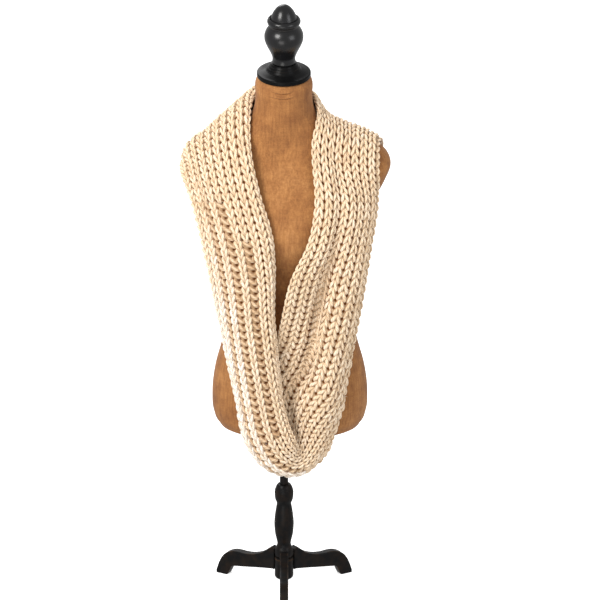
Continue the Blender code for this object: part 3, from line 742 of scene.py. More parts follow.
def yarn_finish():
    """Soft plied yarn: colour from each stitch's tone, which holds painted light and shade, plies
    along the arm with painted shade in their grooves, painted shade at the arms' ends, fine hairy
    bump.
    """
    made = Finish("oatmeal_yarn", 0.9, 0.25, 0.45)
    tone = made.node("ShaderNodeSeparateColor", {}, {0: made.attribute("tone", "Color")})
    place = made.node("ShaderNodeUVMap", {"uv_map": "yarn"})
    plies = made.node("ShaderNodeTexWave", {"wave_type": "BANDS", "bands_direction": "DIAGONAL"},
                      {"Vector": place, "Scale": 1.885, "Distortion": 0.8, "Detail": 1.0}, "Fac")
    fibre = made.noise(900, 3)
    marl = made.noise(95, 2)
    colour = made.ramp(tone, (0.0, (0.52, 0.34, 0.19)), (0.45, (0.84, 0.68, 0.49)),
                       (0.8, (0.92, 0.80, 0.66)), (1.0, (0.95, 0.90, 0.84)))
    for source, low, high, dark, pale in (
            # Painted shade in the grooves between the plies.
            (plies, 0.05, 0.5, (0.80, 0.72, 0.64), (1.0, 1.0, 1.0)),
            (marl, 0.36, 0.6, (0.90, 0.84, 0.76), (1.04, 1.03, 1.02)),
            # Painted shade towards the ends of each arm, from the green of the tone.
            (tone.out("Green"), 0.0, 0.55, (0.34, 0.23, 0.14), (1.0, 1.0, 1.0))):
        colour = made.shaded(colour, source, low, high, dark, pale)
    twisted = made.bump(plies, 0.55, 0.0012)
    return made.done(colour, made.bump(fibre, 0.5, 0.0006, twisted))


def ground_finish():
    """The knit behind the stitches: the same yarn with painted shade, dark brown in the pits, which
    is painted shade and the brown form seen through the holes.
    """
    made = Finish("oatmeal_ground", 0.95, specular=0.1)
    tone = made.node("ShaderNodeSeparateColor", {}, {0: made.attribute("tone", "Color")})
    marl = made.noise(420, 3)
    # Painted shade: the yarn's colours made darker.
    colour = made.ramp(tone, (0.0, (0.30, 0.17, 0.08)), (0.45, (0.60, 0.43, 0.27)),
                       (0.8, (0.76, 0.61, 0.46)), (1.0, (0.84, 0.74, 0.64)))
    for source, low, high, dark, pale in (
            (marl, 0.3, 0.7, (0.75, 0.70, 0.64), (1.0, 1.0, 1.0)),
            # Painted shade in the pits, from the green of the tone, brown also for the form seen
            # through the holes.
            (tone.out("Green"), 0.25, 0.9, (0.22, 0.095, 0.030), (1.0, 1.0, 1.0))):
        colour = made.shaded(colour, source, low, high, dark, pale)
    return made.done(colour, made.bump(marl, 0.6, 0.0008))


def fibre_finish():
    """Loose wool fibres."""
    made = Finish("oatmeal_fibres", 1.0, 0.3, 0.4)
    return made.done(made.ramp(made.noise(60, 2), (0.3, (0.82, 0.68, 0.50)),
                               (0.7, (0.95, 0.90, 0.83))))


def suede_finish():
    """Caramel suede cloth: cloudy colour, upright streaks, a faint weave and a short nap."""
    made = Finish("caramel_suede", 0.85, 0.06, 0.5)
    mottle = made.noise(40, 5, 0.65)
    streaks = made.noise(260, 3, 0.6, (1, 1, 0.05))
    threads = made.noise(260, 2, 0.5, (0.12, 0.12, 1.6))
    nap = made.noise(420, 3, 0.7)
    colour = made.ramp(made.noise(7, 4, 0.6), (0.3, (0.265, 0.108, 0.0265)),
                       (0.5, (0.335, 0.144, 0.0385)), (0.7, (0.405, 0.189, 0.060)))
    for source, low, high, dark, pale in (
            (mottle, 0.32, 0.62, (0.76, 0.68, 0.60), (1.06, 1.06, 1.06)),
            (streaks, 0.38, 0.62, (0.84, 0.80, 0.75), (1.08, 1.09, 1.11)),
            (threads, 0.40, 0.60, (0.96, 0.95, 0.94), (1.02, 1.02, 1.02)),
            (nap, 0.30, 0.70, (0.80, 0.77, 0.74), (1.12, 1.12, 1.12))):
        colour = made.shaded(colour, source, low, high, dark, pale)
    soft = made.bump(mottle, 0.4, 0.0015)
    streaked = made.bump(streaks, 0.35, 0.0007, soft)
    return made.done(colour, made.bump(nap, 0.5, 0.0005, streaked))


def wood_finish(name, roughness, specular, patch, worn_through):
    """Black turned wood, a little browner in patches, and worn through at its corners."""
    made = Finish(name, roughness, specular=specular)
    patches = made.noise(60, 4)
    colour = made.ramp(patches, (0.42, (0.0042, 0.0042, 0.0044)), (0.75, patch))
    worn = made.ramp(made.attribute("wear") * patches, (0.34, (0, 0, 0)), (0.60, (1, 1, 1)))
    colour = made.mix(worn, colour, worn_through)
    return made.done(colour, made.bump(patches, 0.15, 0.0008))


# ---------------------------------------------------------------- the form

def coarse_form():
    """The coarse form, for finding the nearest place on it."""
    points = form_section(form_heights(COARSE_RINGS), COARSE_SIDES).reshape(-1, 3)
    faces = ring_faces(COARSE_RINGS, COARSE_SIDES)[:-2]
    return BVHTree.FromPolygons([Vector(p) for p in points], faces)


def make_form():
    """The covered form, with fine creases on the front of its neck."""
    neck = np.linspace(0.990, 1.020, NECK_RINGS)
    heights = np.sort(np.concatenate([form_heights(FORM_RINGS), neck]))
    points = form_section(heights, FORM_SIDES)
    for level, half, sag, depth in NECK_CREASES:
        x, z = points[..., 0] / MM - CREASE_MIDDLE, points[..., 2] / MM
        off = (z - level - sag * (x / half) ** 2) / CREASE_WIDTH
        along = np.clip(1 - np.abs(x / half) ** 3, 0, 1) * (points[..., 1] < 0)
        push = (-depth * np.exp(-off ** 2) + 0.7 * depth * np.exp(-(off - 1.9) ** 2)) * along * MM
        points[..., :2] *= 1 + (push / np.linalg.norm(points[..., :2], axis=2))[..., None]
    points = points + POLE
    faces = ring_faces(len(heights), FORM_SIDES)
    form = mesh_object("form_cloth", points.reshape(-1, 3), faces, suede)
    for cap in (len(faces) - 2, len(faces) - 1):
        form.data.polygons[cap].use_smooth = False
    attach(form, "root")
    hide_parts("form_body")


# ---------------------------------------------------------------- the knit

def stretch_length(start, end):
    """A stretch's length along the band's middle, in m."""
    return band.walked(np.linspace(start, end, LENGTH_SAMPLES), 0.5)[-1]


def stretch_rows(start, end):
    """A stretch's rows of stitches: their number, the gap before the first and the turn of each."""
    rows = round(stretch_length(start, end) / PITCH)
    inset = SEAM_GAP / 2 / PERIOD
    return rows, inset, (end - start - 2 * inset) / rows


def make_shell(name, start, end):
    """The knit's ground: a thin shell with a pit where four stitches meet and one in each V."""
    rows, inset, _ = stretch_rows(start, end)
    row_at = np.linspace(0, rows, rows * STEPS_ALONG + 1)
    turns = start + inset + (end - start - 2 * inset) * row_at / rows
    outside = np.linspace(0, 1, COLUMNS * STEPS_ACROSS + 1)
    inside = np.linspace(1, 0, COLUMNS * STEPS_INSIDE + 1)
    across_at = 0.006 + 0.988 * np.concatenate([outside, inside])
    outer = np.arange(len(across_at)) < len(outside)
    grid_row, grid_across = np.meshgrid(row_at, across_at, indexing="ij")
    grid_turn = np.broadcast_to(turns[:, None], grid_row.shape)
    grid_column = column_at(grid_turn, grid_across)
    purl = is_purl(np.floor(grid_column).astype(int), grid_turn)

    def pit(at_column, at_row, wide, long):
        c = (grid_column - at_column + 0.5) % 1 - 0.5
        r = (grid_row - at_row + 0.5) % 1 - 0.5
        return np.exp(-(c / wide) ** 2 - (r / long) ** 2)

    corner_pits = pit(0, 0.77, 0.18, 0.17) + 0.35 * pit(0, 0.77, 0.09, 0.6)
    knit_pits = corner_pits + 0.6 * pit(0.5, 0.34, 0.09, 0.11)
    deep = np.where(purl, pit(0.30, 0.02, 0.30, 0.20), knit_pits)
    deep = np.clip(deep, 0, 1) * outer
    share = wall_share(grid_turn, grid_across)
    inner_face = GROUND_IN * MM * share + inner_relief(grid_turn, grid_across) * share
    height = (GROUND_OUT - PIT_DEPTH * deep - PURL_DEPTH * purl) * MM
    height = (height + relief(grid_turn, grid_across)) * share
    height = np.maximum(height, inner_face + LEAST_WALL * MM * share)
    height = np.where(outer, height, inner_face)
    points = band.at(grid_turn, grid_across, height) + POLE
    faces = ring_faces(*grid_row.shape, turned=True)
    shell = mesh_object(name, points.reshape(-1, 3), faces, ground)
    colour = np.ones((grid_row.size, 4), np.float32)
    colour[:, 0] = tone_with_painted_light(grid_turn.ravel(), grid_across.ravel(), purl.ravel(), 0)
    # Green: painted shade in the pits.
    colour[:, 1] = 1 - deep.ravel()
    # Where loose fibres grow, how much of their size they keep, and which way the edge faces.
    hem = np.clip((grid_across - 0.9) / 0.1, 0, 1)
    shaggy = outer * (1 + FRINGE * (grid_across > FRINGE_FROM))
    near = band.at(grid_turn, np.clip(grid_across - 0.02, 0, 1), height)
    outward = unit(band.at(grid_turn, grid_across, height) - near) * (0.9 * hem)[..., None]
    for label, kind, values in (("tone", "FLOAT_COLOR", colour), ("shaggy", "FLOAT", shaggy),
                                ("squeeze", "FLOAT", share), ("outward", "FLOAT_VECTOR", outward)):
        add_layer(shell.data, label, kind, values)
    return shell


# Each row is a point of a stitch's arm: share of the column's width, share of the pitch, height
# in mm, radius across the arm as a share, and radius outward in mm. The V points the way the
# knitting runs.
KNIT_ARM = (
    (0.060, 0.66, -1.7, 0.09, 1.2),
    (0.095, 0.48, 0.5, 0.125, 1.7),
    (0.150, 0.24, 1.9, 0.165, 2.2),
    (0.230, -0.03, 2.4, 0.182, 2.4),
    (0.300, -0.28, 2.0, 0.172, 2.3),
    (0.335, -0.47, 0.8, 0.135, 1.8),
    (0.310, -0.62, -1.5, 0.09, 1.2),
)
# A purl column shows one slanting stroke a row, and a low short one beside it.
PURL_STROKE = (
    (0.52, -0.56, -2.2, 0.11, 1.3),
    (0.38, -0.38, -0.3, 0.165, 1.9),
    (0.12, -0.14, 0.9, 0.20, 2.3),
    (-0.16, 0.10, 0.7, 0.20, 2.2),
    (-0.40, 0.28, -1.6, 0.13, 1.5),
)
PURL_LINK = (
    (-0.46, -0.42, -2.0, 0.10, 1.2),
    (-0.42, -0.18, -1.0, 0.13, 1.5),
    (-0.36, 0.06, -1.1, 0.13, 1.5),
    (-0.24, 0.30, -2.2, 0.10, 1.3),
)
# The edges: sideways is outward past the edge, as a share of a column.
EDGE_ARM = (
    (-0.10, 0.62, -3.0, 0.10, 1.0),
    (0.02, 0.40, -1.6, 0.14, 1.3),
    (0.06, 0.10, 0.2, 0.17, 1.6),
    (0.02, -0.20, 1.7, 0.16, 1.6),
    (-0.14, -0.46, 1.2, 0.13, 1.4),
    (-0.24, -0.60, -0.6, 0.10, 1.2),
)
# The inner face: one low bump across each column in every row.
BACK_BUMP = (
    (-0.48, -0.16, -3.3, 0.10, 0.7),
    (-0.24, 0.04, -3.9, 0.15, 0.9),
    (0.0, 0.12, -4.0, 0.16, 0.9),
    (0.24, 0.04, -3.9, 0.15, 0.9),
    (0.48, -0.16, -3.3, 0.10, 0.7),
)


def arm_points(rows, rings):
    """A template's points, evenly read along its smooth curve."""
    rows = np.array(rows, float)
    keys = np.linspace(0, 1, len(rows))
    return smooth_rows(keys, rows, np.linspace(0, 1, rings))


def lay_arms(template, width, pitch, flip, lean, plump, raised):
    """Yarn laid along a template at many places at once: each point of its line, and how far the
    yarn reaches sideways and outward there, as arm by point by (sideways, forward, out).

    width and pitch are the column's real width and the stitch's length there; flip is 1 or -1;
    lean turns the arm in the cloth's plane; plump scales its thickness; raised lifts it, in m.
    """
    c, s = np.cos(lean)[:, None], np.sin(lean)[:, None]
    beside = template[None, :, 0] * width[:, None] * flip[:, None]
    forward = template[None, :, 1] * pitch[:, None]
    height = template[None, :, 2] * MM + raised[:, None]
    line = np.stack([beside * c - forward * s, beside * s + forward * c, height], axis=2)
    ahead = unit(np.gradient(line, axis=1))
    side = unit(np.cross(np.broadcast_to([0, 0, 1.0], ahead.shape), ahead))
    wide = template[None, :, 3] * (0.5 * width + 6.6 * MM)[:, None] * plump[:, None]
    thick = template[None, :, 4] * MM * plump[:, None]
    return line, side * wide[..., None], np.cross(ahead, side) * thick[..., None]


def on_band(laid, turn, per_row, pitch, place, spare=1.2 * MM, face=1.0):
    """Yarn laid in (sideways, forward, out) at each stitch, carried onto the band.

    place gives the place across the band of a turn and a way sideways; spare is how far a point
    may lie past the band's edge; face is 1 where the points follow the outer face's relief.
    """
    line, wide, thick = laid
    local = np.stack([line, line + wide, line - wide, line + thick])
    t = turn[:, None] + local[..., 1] / pitch[:, None] * per_row
    a = place(t, local[..., 0])
    per_across = band.read(band.per_across, t, a)[..., 0]
    past = np.clip(np.where(a < 0, a, np.where(a > 1, a - 1, 0)) * per_across, -spare, spare)
    edge = np.clip(a, 0.0, 1.0)
    height = (local[..., 2] + face * relief(t, edge)) * wall_share(t, a)
    points = band.at(t, edge, height)
    beside = band.at(t, np.clip(edge - 0.01, 0, 1), height)
    ahead = band.at(t, np.clip(edge + 0.01, 0, 1), height)
    points = points + unit(ahead - beside) * past[..., None] + POLE
    middle, one_side, other_side, crown = points
    return middle, (one_side - other_side) / 2, crown - middle


def swept_yarn(name, laid, tones, sides=ARM_SIDES):
    """One mesh of yarn swept along many lines, with a yarn UV and a tone on every point."""
    lines, wide, thick = laid
    count, rings, _ = lines.shape
    mesh = bpy.data.meshes.new(name)
    mesh.vertices.add(count * rings)
    mesh.vertices.foreach_set("co", lines.ravel())
    first = (np.arange(count) * rings)[:, None] + np.arange(rings - 1)
    mesh.edges.add(first.size)
    pairs = np.stack([first, first + 1], axis=-1).astype(np.int32)
    mesh.edges.foreach_set("vertices", pairs.ravel())
    steps = np.linalg.norm(np.diff(lines, axis=1), axis=2)
    along = np.concatenate([np.zeros((count, 1)), np.cumsum(steps, axis=1)], axis=1) / PLY_LENGTH
    along = along + rng.random(count)[:, None]
    colour = np.ones((count, rings, 4), np.float32)
    colour[..., 0] = tones[:, None]
    # Green is painted shade: darker towards both ends of each arm, where it dives under its
    # neighbours.
    colour[..., 1] = 0.35 + 0.65 * np.sin(np.linspace(0, math.pi, rings)) ** 0.6
    for label, kind, values in (("wide", "FLOAT_VECTOR", wide), ("thick", "FLOAT_VECTOR", thick),
                                ("along", "FLOAT", along), ("tone", "FLOAT_COLOR", colour)):
        add_layer(mesh, label, kind, values)
    return yarn_sweep.form(linked(name, mesh), {"Sides": sides, "Finish": yarn},
                           ("wide", "thick", "along", "middle", "around"))


def is_purl(column, turn):
    """Recessed purl columns show on the left panel, where the rib is pulled open."""
    t = turn % 1.0
    found = np.zeros(np.broadcast(column, t).shape, bool)
    for which, first, last in PURL_COLUMNS:
        found |= (column == which) & (t > mark(first)) & (t < mark(last))
    return found


def stitch_places(start, end):
    """Where every stitch of a stretch is: turn, column, across, its width and its length."""
    rows, inset, per_row = stretch_rows(start, end)
    row, column = np.meshgrid(np.arange(rows), np.arange(*COLUMNS_THAT_SHOW))
    row, column = row.ravel(), column.ravel()
    turn = start + inset + (row + 0.5) * per_row
    across = column_place(turn, column + 0.5)
    shows = (across > 0.015) & (across < 0.985)
    turn, column, across = turn[shows], column[shows], across[shows]
    width = column_place(turn, column + 1.0) - column_place(turn, column + 0.0)
    width = width * band.read(band.per_across, turn, across)[:, 0]
    pitch = per_row * band.read(band.per_turn, turn, across)[:, 0]
    return turn, column, across, width, pitch, per_row


def tone_with_painted_light(turn, across, purl, spread=0.06):
    """Paler on the outer ribs low on the left panel, which is painted light, and browner in the
    purl columns, which is painted shade in their recess; the rest varies at random.
    """
    t = turn % 1.0
    low = np.clip((t - mark("chest_left")) / (mark("waist_left") - mark("chest_left")), 0, 1)
    low = low * (t < mark("turn"))
    outside = np.clip((across - 0.35) / 0.35, 0, 1)
    # Painted light: paler towards the outer edge low on the left panel.
    tone = 0.50 + 0.50 * low * outside
    # Painted shade: browner in the recessed purl columns.
    tone = np.where(purl, 0.20 + 0.10 * outside, tone)
    return np.clip(tone + rng.normal(0, 1, len(t)) * spread, 0.02, 1)


def make_stitches(name, start, end):
    """The outer face: two arms a knit stitch, a stroke and a link a purl one, and the edges."""
    turn, column, across, width, pitch, per_row = stitch_places(start, end)
    purl = is_purl(column, turn)
    tone = tone_with_painted_light(turn, across, purl)
    laid, tones = [], []

    def lay(rows, picked, flip, lean, plump, raised, painted_shade=0.0):
        k = picked.sum()
        if not k:
            return
        arms = lay_arms(arm_points(rows, ARM_RINGS), width[picked], pitch[picked], np.full(k, flip),
                        rng.normal(0, lean, k), rng.normal(plump, 0.05, k),
                        rng.normal(raised, 0.2 * MM, k))
        wide, middle = width[picked][:, None], column[picked][:, None] + 0.5
        laid.append(on_band(arms, turn[picked], per_row, pitch[picked],
                            lambda t, u: column_place(t, middle + u / wide)))
        tones.append(tone[picked] - painted_shade + rng.normal(0, 0.04, k))

    lay(KNIT_ARM, ~purl, 1.0, 0.05, 1.0, 0.0)
    lay(KNIT_ARM, ~purl, -1.0, 0.05, 1.0, 0.0)
    lay(PURL_STROKE, purl, 1.0, 0.10, 1.0, -0.4 * MM)
    # The low purl link takes 0.1 of painted shade on its tone.
    lay(PURL_LINK, purl, 1.0, 0.10, 1.0, -0.4 * MM, 0.1)

    rows, inset, _ = stretch_rows(start, end)
    at = start + inset + (np.arange(rows) + 0.5) * per_row
    for edge, flip in ((0.0, -1.0), (1.0, 1.0)):
        where = np.full(rows, edge)
        long = per_row * band.read(band.per_turn, at, where)[:, 0]
        arms = lay_arms(arm_points(EDGE_ARM, ARM_RINGS), np.full(rows, EDGE_ARM_WIDTH), long,
                        np.full(rows, flip), rng.normal(0, 0.04, rows), rng.normal(1, 0.05, rows),
                        rng.normal(0, 0.2 * MM, rows))
        span = band.read(band.per_across, at, where)[:, 0][:, None]
        laid.append(on_band(arms, at, per_row, long, lambda t, u: edge + u / span, 3 * MM, 0.5))
        tones.append(tone_with_painted_light(at, where, np.zeros(rows, bool)) - 0.04)
    joined = [np.concatenate(parts) for parts in zip(*laid)]
    return swept_yarn(name, joined, np.clip(np.concatenate(tones), 0, 1))


def inner_relief(turn, across):
    """How far the inner face goes in with the valley, in m."""
    return np.minimum(relief(turn, across) + 1 * MM, 0) * read_marks(HANGS_CLEAR, turn)


def make_back(name, start, end):
    """The inner face's rows of low bumps."""
    turn, column, across, width, pitch, per_row = stitch_places(start, end)
    k = len(turn)
    arms = lay_arms(arm_points(BACK_BUMP, BUMP_RINGS), width, pitch, np.ones(k),
                    rng.normal(0, 0.04, k),
                    rng.normal(1, 0.04, k), np.zeros(k))
    wide, middle = width[:, None], column[:, None] + 0.5
    laid = on_band(arms, turn, per_row, pitch, lambda t, u: column_place(t, middle + u / wide),
                   0.0, 0.0)
    return swept_yarn(name, laid, tone_with_painted_light(turn, across, np.zeros(k, bool)) - 0.1, BUMP_SIDES)


def make_fibres(name, shell, seed):
    """Loose fibres standing off the yarn, more of them at the outer edge."""
    return loose_fibres.form(linked(name, shell.data.copy()), {"Seed": seed, "Finish": fluff},
                             ("tone", "shaggy", "squeeze", "outward"))


def make_scarf():
    """Each stretch of the band: its ground, stitches, inner bumps and loose fibres."""
    for seed, (name, first, last) in enumerate(STRETCHES):
        start, end = mark(first), mark(last)
        if end <= start:
            end += 1.0
        shell = make_shell(name + "_ground", start, end)
        stitches = make_stitches(name + "_stitches", start, end)
        back = make_back(name + "_back", start, end)
        fuzz = make_fibres(name + "_fuzz", shell, 11 + 5 * seed)
        for piece in (shell, stitches, back, fuzz):
            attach(piece, "root")
        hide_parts(name)
        flat = (FOLDED_WIDTH if name == "scarf_turn" else FLAT_WIDTH,
                round(stretch_length(start, end), 3))


# ---------------------------------------------------------------- the stand

# Outlines in mm: radius and height. A turned piece closes at its axis, at the radius AXIS.
AXIS = 0.4
TURNED_SIDES = 96
# A turned edge this long gets a row of points beside each corner, for the worn paint there.
LONG_EDGE, CORNER_ROW = 5, 1.5
# How far a corner has to turn before it wears, as the cosine between its edges.
WORN_FROM = 0.93
PIECE_GAP = 0.3
CAP_RADIUS, CAP_THICK = 50.4, 9.2
CAP_STEPS = ((33.5, 5.5), (30.0, 9.7), (27.0, 13.9), (24.0, 18.0))
CAP_SLOPE = ((36.5, 3.4), (44.5, 0.6))
STEP_ROUND, RIM_ROUND = 0.9, 2
# The acorn: the ball's radius, half height and middle; the vase below it; the bead's outer radius,
# own radius and middle; the dome's radius and height.
BALL = (36.6, 31, 53.4)
VASE_OUTLINE = ((36.6, 53.4), (35.9, 46.5), (32.3, 36.6), (26.9, 25.6), (22.6, 15.5), (21.4, 9),
                (22, 2))
BEAD = (31.3, 7.5, 84.4)
DOME = (25.5, 33.6)
POLE_OUTLINE = ((AXIS, 326.7), (7.4, 326.7), (8, 326.1), (8, 201), (7.4, 200.3), (AXIS, 200.3))
# The socket in the post's top, down to which the pole reaches, and the collar round it.
POST_SOCKET = ((AXIS, 200), (8.5, 200), (8.5, 207.6), (9.2, 208), (11.4, 208))
POST_FOOT = ((15.2, 60.3), (AXIS, 60.3))
POST_OUTLINE = (
    (12.2, 207.6), (15.0, 203), (17.2, 195), (17.8, 187), (16.8, 178), (13.8, 169.5),
    (14.6, 163), (16.6, 150), (18.2, 135), (18.4, 124), (17.0, 108), (14.4, 96),
    (12.9, 88), (14.0, 82), (17.4, 75), (17.6, 66), (15.8, 61.5),
)
# Turned rings on the post's collar: height and how far they stand out, in mm.
POST_RINGS = ((196.5, 0.5), (192.5, 0.5))
RING_WIDTH = 0.9
HUB_RADIUS, HUB_BOTTOM, HUB_TOP = 17.6, 16, 60
HUB_EDGE, HUB_FOOT = 1.3, 7
LEG_THICK = 16
LEG_TOP_EDGE = (
    (24, 76), (33, 70), (45, 60.5), (63, 53.5), (81, 51), (96, 51.5), (109, 50),
    (122, 44), (131, 35), (138, 22), (144, 5),
)
LEG_SOLE = ((143, 0), (120, 0))
# The board's rounded long edges: place across its thickness, inset in mm, and wear.
LEG_BEVEL = ((-1, 1.5, 0.1), (-0.93, 0.5, 0.95), (-0.8, 0, 0.6), (-0.62, 0, 0),
             (0.62, 0, 0), (0.8, 0, 0.6), (0.93, 0.5, 0.95), (1, 1.5, 0.1))
LEG_BOTTOM_EDGE = ((115, 9), (111, 17), (104, 20), (91, 22), (68, 25.5), (45, 29), (22, 32))


def arc(centre_r, centre_z, radius_r, radius_z, start, end, count):
    """Points of an outline round a centre, from one angle in degrees to another."""
    angles = np.radians(np.linspace(start, end, count))
    return [(centre_r + radius_r * math.cos(a), centre_z + radius_z * math.sin(a)) for a in angles]


def eased(rows, count):
    """Points of a smooth outline through a few rows."""
    rows = np.array(rows, float)
    keys = np.arange(len(rows))
    return [tuple(p) for p in smooth_rows(keys, rows, np.linspace(0, keys[-1], count))]


def stand_piece(name, node, points, faces, wear, finish):
    piece = mesh_object(name, points + POLE, faces, finish)
    piece.data.set_sharp_from_angle(angle=math.radians(40))
    add_layer(piece.data, "wear", "FLOAT", wear)
    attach(piece, "root")
    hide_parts(node)
    return piece


def lathe(name, node, outline, finish, low=0.0, tilt=0.0, behind=0.0):
    """A turned piece from its outline in mm, from the top to the bottom, with worn corners."""
    rows = [outline[0]]
    for last, point in zip(outline, outline[1:]):
        long = math.dist(last, point)
        if long > LONG_EDGE:
            for share in (CORNER_ROW / long, 1 - CORNER_ROW / long):
                rows.append([a + (b - a) * share for a, b in zip(last, point)])
        rows.append(point)
    rows = np.array(rows, float) * MM
    steps = unit(np.diff(rows, axis=0))
    turned = (steps[:-1] * steps[1:]).sum(axis=1)
    corner = np.concatenate([[0], np.clip((WORN_FROM - turned) * 4, 0, 1), [0]])
    angles = np.linspace(0, 2 * math.pi, TURNED_SIDES, endpoint=False)
    x = rows[:, 0][:, None] * np.cos(angles)
    y = rows[:, 0][:, None] * np.sin(angles)
    z = np.broadcast_to(rows[:, 1][:, None], x.shape)
    c, s = math.cos(tilt), math.sin(tilt)
    points = np.stack([x, y * c - z * s + behind, y * s + z * c + low], axis=2).reshape(-1, 3)
    faces = ring_faces(len(rows), TURNED_SIDES, turned=True)
    return stand_piece(name, node, points, faces, np.repeat(corner, TURNED_SIDES), finish)


def make_cap(level):
    """The disc on the neck: a round rim, a slope and four steps. Gives the height of its top."""
    top = CAP_THICK + CAP_STEPS[-1][1]
    outline = [(AXIS, top)]
    for radius, height in reversed(CAP_STEPS):
        outline += arc(radius - STEP_ROUND, CAP_THICK + height - STEP_ROUND, STEP_ROUND, STEP_ROUND,
                       90, 0, 5)
    slope = [(CAP_STEPS[0][0] + 0.4, 4.3), *CAP_SLOPE]
    outline += eased([(radius, CAP_THICK + height) for radius, height in slope], 8)
    for height, start in ((CAP_THICK - RIM_ROUND, 90), (RIM_ROUND, 0)):
        outline += arc(CAP_RADIUS - RIM_ROUND, height, RIM_ROUND, RIM_ROUND, start, start - 90, 7)
    outline.append((AXIS, 0))
    lathe("cap_turned", "neck_cap", outline, wood_cap, level, CAP_TILT)
    return top


def make_finial(level, top):
    """The acorn on the cap: a dome with a flared lip, a bead, a ball and a vase."""
    tip = BEAD[2] + DOME[1]
    rise = np.linspace(0.0008, 1, 26) ** 1.4
    dome = [(DOME[0] * math.sqrt(1 - (1 - t) ** 1.5), tip - DOME[1] * t) for t in rise]
    bead = arc(BEAD[0] - BEAD[1], BEAD[2], BEAD[1], BEAD[1], 62, -62, 18)
    ball = arc(0, BALL[2], BALL[0], BALL[1], 43, 0, 14)
    vase = eased(VASE_OUTLINE, 28)
    outline = dome[:-2] + bead + ball[:-1] + vase + [(vase[-1][0] - 0.8, 0), (AXIS, 0)]
    step = (top + PIECE_GAP) * MM
    lathe("finial_turned", "finial", outline, wood_top, level + math.cos(CAP_TILT) * step, CAP_TILT,
          -math.sin(CAP_TILT) * step)


def make_column():
    """The pole in its post, and the hub that the legs meet."""
    lathe("pole_turned", "pole", POLE_OUTLINE, wood)
    shaped = np.array(eased(POST_OUTLINE, 90))
    for height, out in POST_RINGS:
        shaped[:, 0] += out * np.exp(-((shaped[:, 1] - height) / RING_WIDTH) ** 2)
    lathe("post_turned", "post", [*POST_SOCKET, *shaped.tolist(), *POST_FOOT], wood)
    outline = [(AXIS, HUB_TOP)]
    outline += arc(HUB_RADIUS - HUB_EDGE, HUB_TOP - HUB_EDGE, HUB_EDGE, HUB_EDGE, 90, -60, 10)
    outline += [(HUB_RADIUS - 1.4, HUB_TOP - 3.4), (HUB_RADIUS, HUB_TOP - 4.4)]
    outline += arc(HUB_RADIUS - HUB_FOOT, HUB_BOTTOM + HUB_FOOT, HUB_FOOT, HUB_FOOT, 0, -90, 12)
    outline.append((AXIS, HUB_BOTTOM))
    lathe("hub_turned", "hub", outline, wood)


def make_legs():
    """Three boards with an S outline and eased long edges, a third of a turn apart."""
    root = HUB_RADIUS + PIECE_GAP
    outline = [(root, LEG_TOP_EDGE[0][1] - 3)] + eased(LEG_TOP_EDGE, 50) + list(LEG_SOLE)
    outline += eased(LEG_BOTTOM_EDGE, 34) + [(root, LEG_BOTTOM_EDGE[-1][1])]
    flat = np.array(outline) * MM
    ahead = unit(np.roll(flat, -1, axis=0) - np.roll(flat, 1, axis=0))
    inward = np.stack([ahead[:, 1], -ahead[:, 0]], axis=1)
    held = (flat[:, 0] < root * MM + 1e-6) | (flat[:, 1] < 1e-6)
    rings, wear = [], []
    half = LEG_THICK / 2 * MM
    for depth, inset, worn in LEG_BEVEL:
        ring = flat + inward * np.where(held, 0.0, inset * MM)[:, None]
        rings.append(np.stack([ring[:, 0], np.full(len(ring), depth * half), ring[:, 1]], axis=1))
        wear += [worn] * len(ring)
    points = np.concatenate(rings)
    faces = ring_faces(len(LEG_BEVEL), len(flat), turned=True)
    for i, side in enumerate(("front", "right", "left")):
        turn = -math.pi / 2 + i * 2 * math.pi / 3
        c, s = math.cos(turn), math.sin(turn)
        placed = np.stack([points[:, 0] * c - points[:, 1] * s, points[:, 0] * s + points[:, 1] * c,
                           points[:, 2]], axis=1)
        leg = stand_piece("leg_board_" + side, "leg_" + side, placed, faces, wear, wood)
        work = bmesh.new()
        work.from_mesh(leg.data)
        bmesh.ops.recalc_face_normals(work, faces=work.faces)
        work.to_mesh(leg.data)
        work.free()


# ---------------------------------------------------------------- the photograph's view

FLOOR_HALF, FLOOR_LEVEL, FLOOR_GLOW = 9, -0.5 * MM, 0.55
WORLD_LIGHT = 0.73
LAMPS_AIM = Vector((0, 0, 0.6))
# name, place, size in m, power in W, colour
LAMPS = (
    ("key", (-1.7, -1.9, 2.5), 1.2, 84, (1.0, 0.985, 0.96)),
    ("fill", (2.2, -1.9, 1.9), 1.4, 24, (0.97, 0.98, 1.0)),
    ("low_front", (-0.7, -2.7, 0.25), 1.4, 20, (1.0, 0.98, 0.95)),
    ("rim", (-0.6, 2.4, 2.6), 1.6, 40, (1, 1, 1)),
)
# The camera looks from far in front and above, at a place beside the pole.
SENSOR, LENS = 36, 962
CAMERA_AIM = (0.030, 0, 0.580)
CAMERA_AWAY, CAMERA_TILT, CAMERA_END = 30.0, math.radians(22), 90


def aimed(name, data, place, aim):
    """A lamp or camera at a place, looking at another."""
    obj = linked(name, data)
    obj.location = place
    obj.rotation_euler = (aim - Vector(place)).to_track_quat("-Z", "Y").to_euler()
    return obj


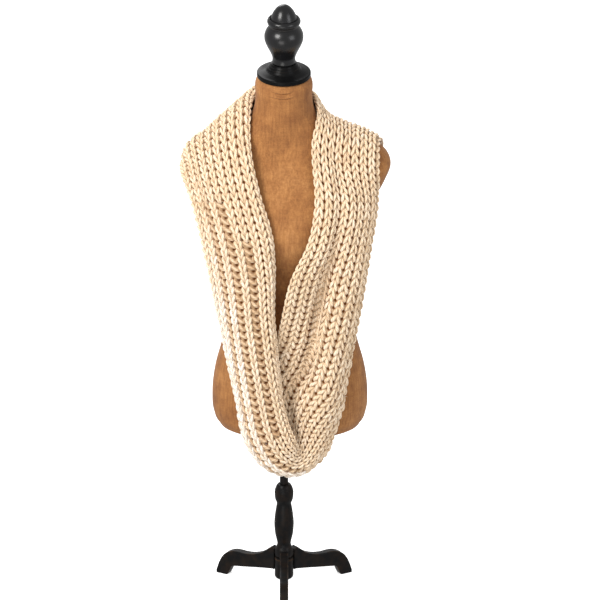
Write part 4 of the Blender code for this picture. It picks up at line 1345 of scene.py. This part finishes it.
def make_floor():
    mesh = bpy.data.meshes.new("floor")
    corners = [(x * FLOOR_HALF, y * FLOOR_HALF, 0) for x, y in ((-1, -1), (1, -1), (1, 1), (-1, 1))]
    mesh.from_pydata(corners, [], [(0, 1, 2, 3)])
    sweep = Finish("white_sweep", 0.9)
    for key, value in (("Base Color", (0.9, 0.9, 0.9)), ("Emission Color", (1, 1, 1)),
                       ("Emission Strength", FLOOR_GLOW)):
        sweep.feed(sweep.shader.inputs[key], value)
    mesh.materials.append(sweep.material)
    floor = linked("floor", mesh)
    floor.location = (0, 0, FLOOR_LEVEL)
    floor.visible_diffuse = False
    floor.visible_glossy = False


def make_light():
    world = bpy.data.worlds.new("studio")
    bpy.context.scene.world = world
    world.use_nodes = True
    background = world.node_tree.nodes["Background"].inputs
    background["Color"].default_value = (1, 1, 1, 1)
    background["Strength"].default_value = WORLD_LIGHT
    for name, place, size, power, colour in LAMPS:
        data = bpy.data.lights.new(name, "AREA")
        data.size, data.energy, data.color = size, power, colour
        aimed(name, data, place, LAMPS_AIM)


def make_camera():
    scene = bpy.context.scene
    data = bpy.data.cameras.new("camera")
    data.sensor_width, data.lens, data.clip_end = SENSOR, LENS, CAMERA_END
    aim = Vector(POLE) + Vector(CAMERA_AIM)
    away = Vector((0, -math.cos(CAMERA_TILT), math.sin(CAMERA_TILT))) * CAMERA_AWAY
    scene.camera = aimed("camera", data, aim + away, aim)
    scene.view_settings.view_transform = "Standard"
    scene.view_settings.look = "None"


# ---------------------------------------------------------------- the whole

yarn_sweep = yarn_former()
loose_fibres = fibre_former()
suede = suede_finish()
yarn = yarn_finish()
ground = ground_finish()
fluff = fibre_finish()
wood = wood_finish("black_worn_wood", 0.38, 0.10, (0.014, 0.009, 0.006), (0.052, 0.029, 0.016))
wood_cap = wood_finish("black_turned_cap", 0.28, 0.05, (0.006, 0.006, 0.006), (0.016, 0.012, 0.010))
wood_top = wood_finish("black_satin_wood", 0.26, 0.36, (0.006, 0.006, 0.007), (0.012, 0.010, 0.009))
band = Band(laid_on(free_band(), coarse_form()))
cap_level = (FORM_LEVELS[-1][0] + PIECE_GAP) * MM

make_form()
make_scarf()
make_finial(cap_level, make_cap(cap_level))
make_column()
make_legs()
make_floor()
make_light()
make_camera()
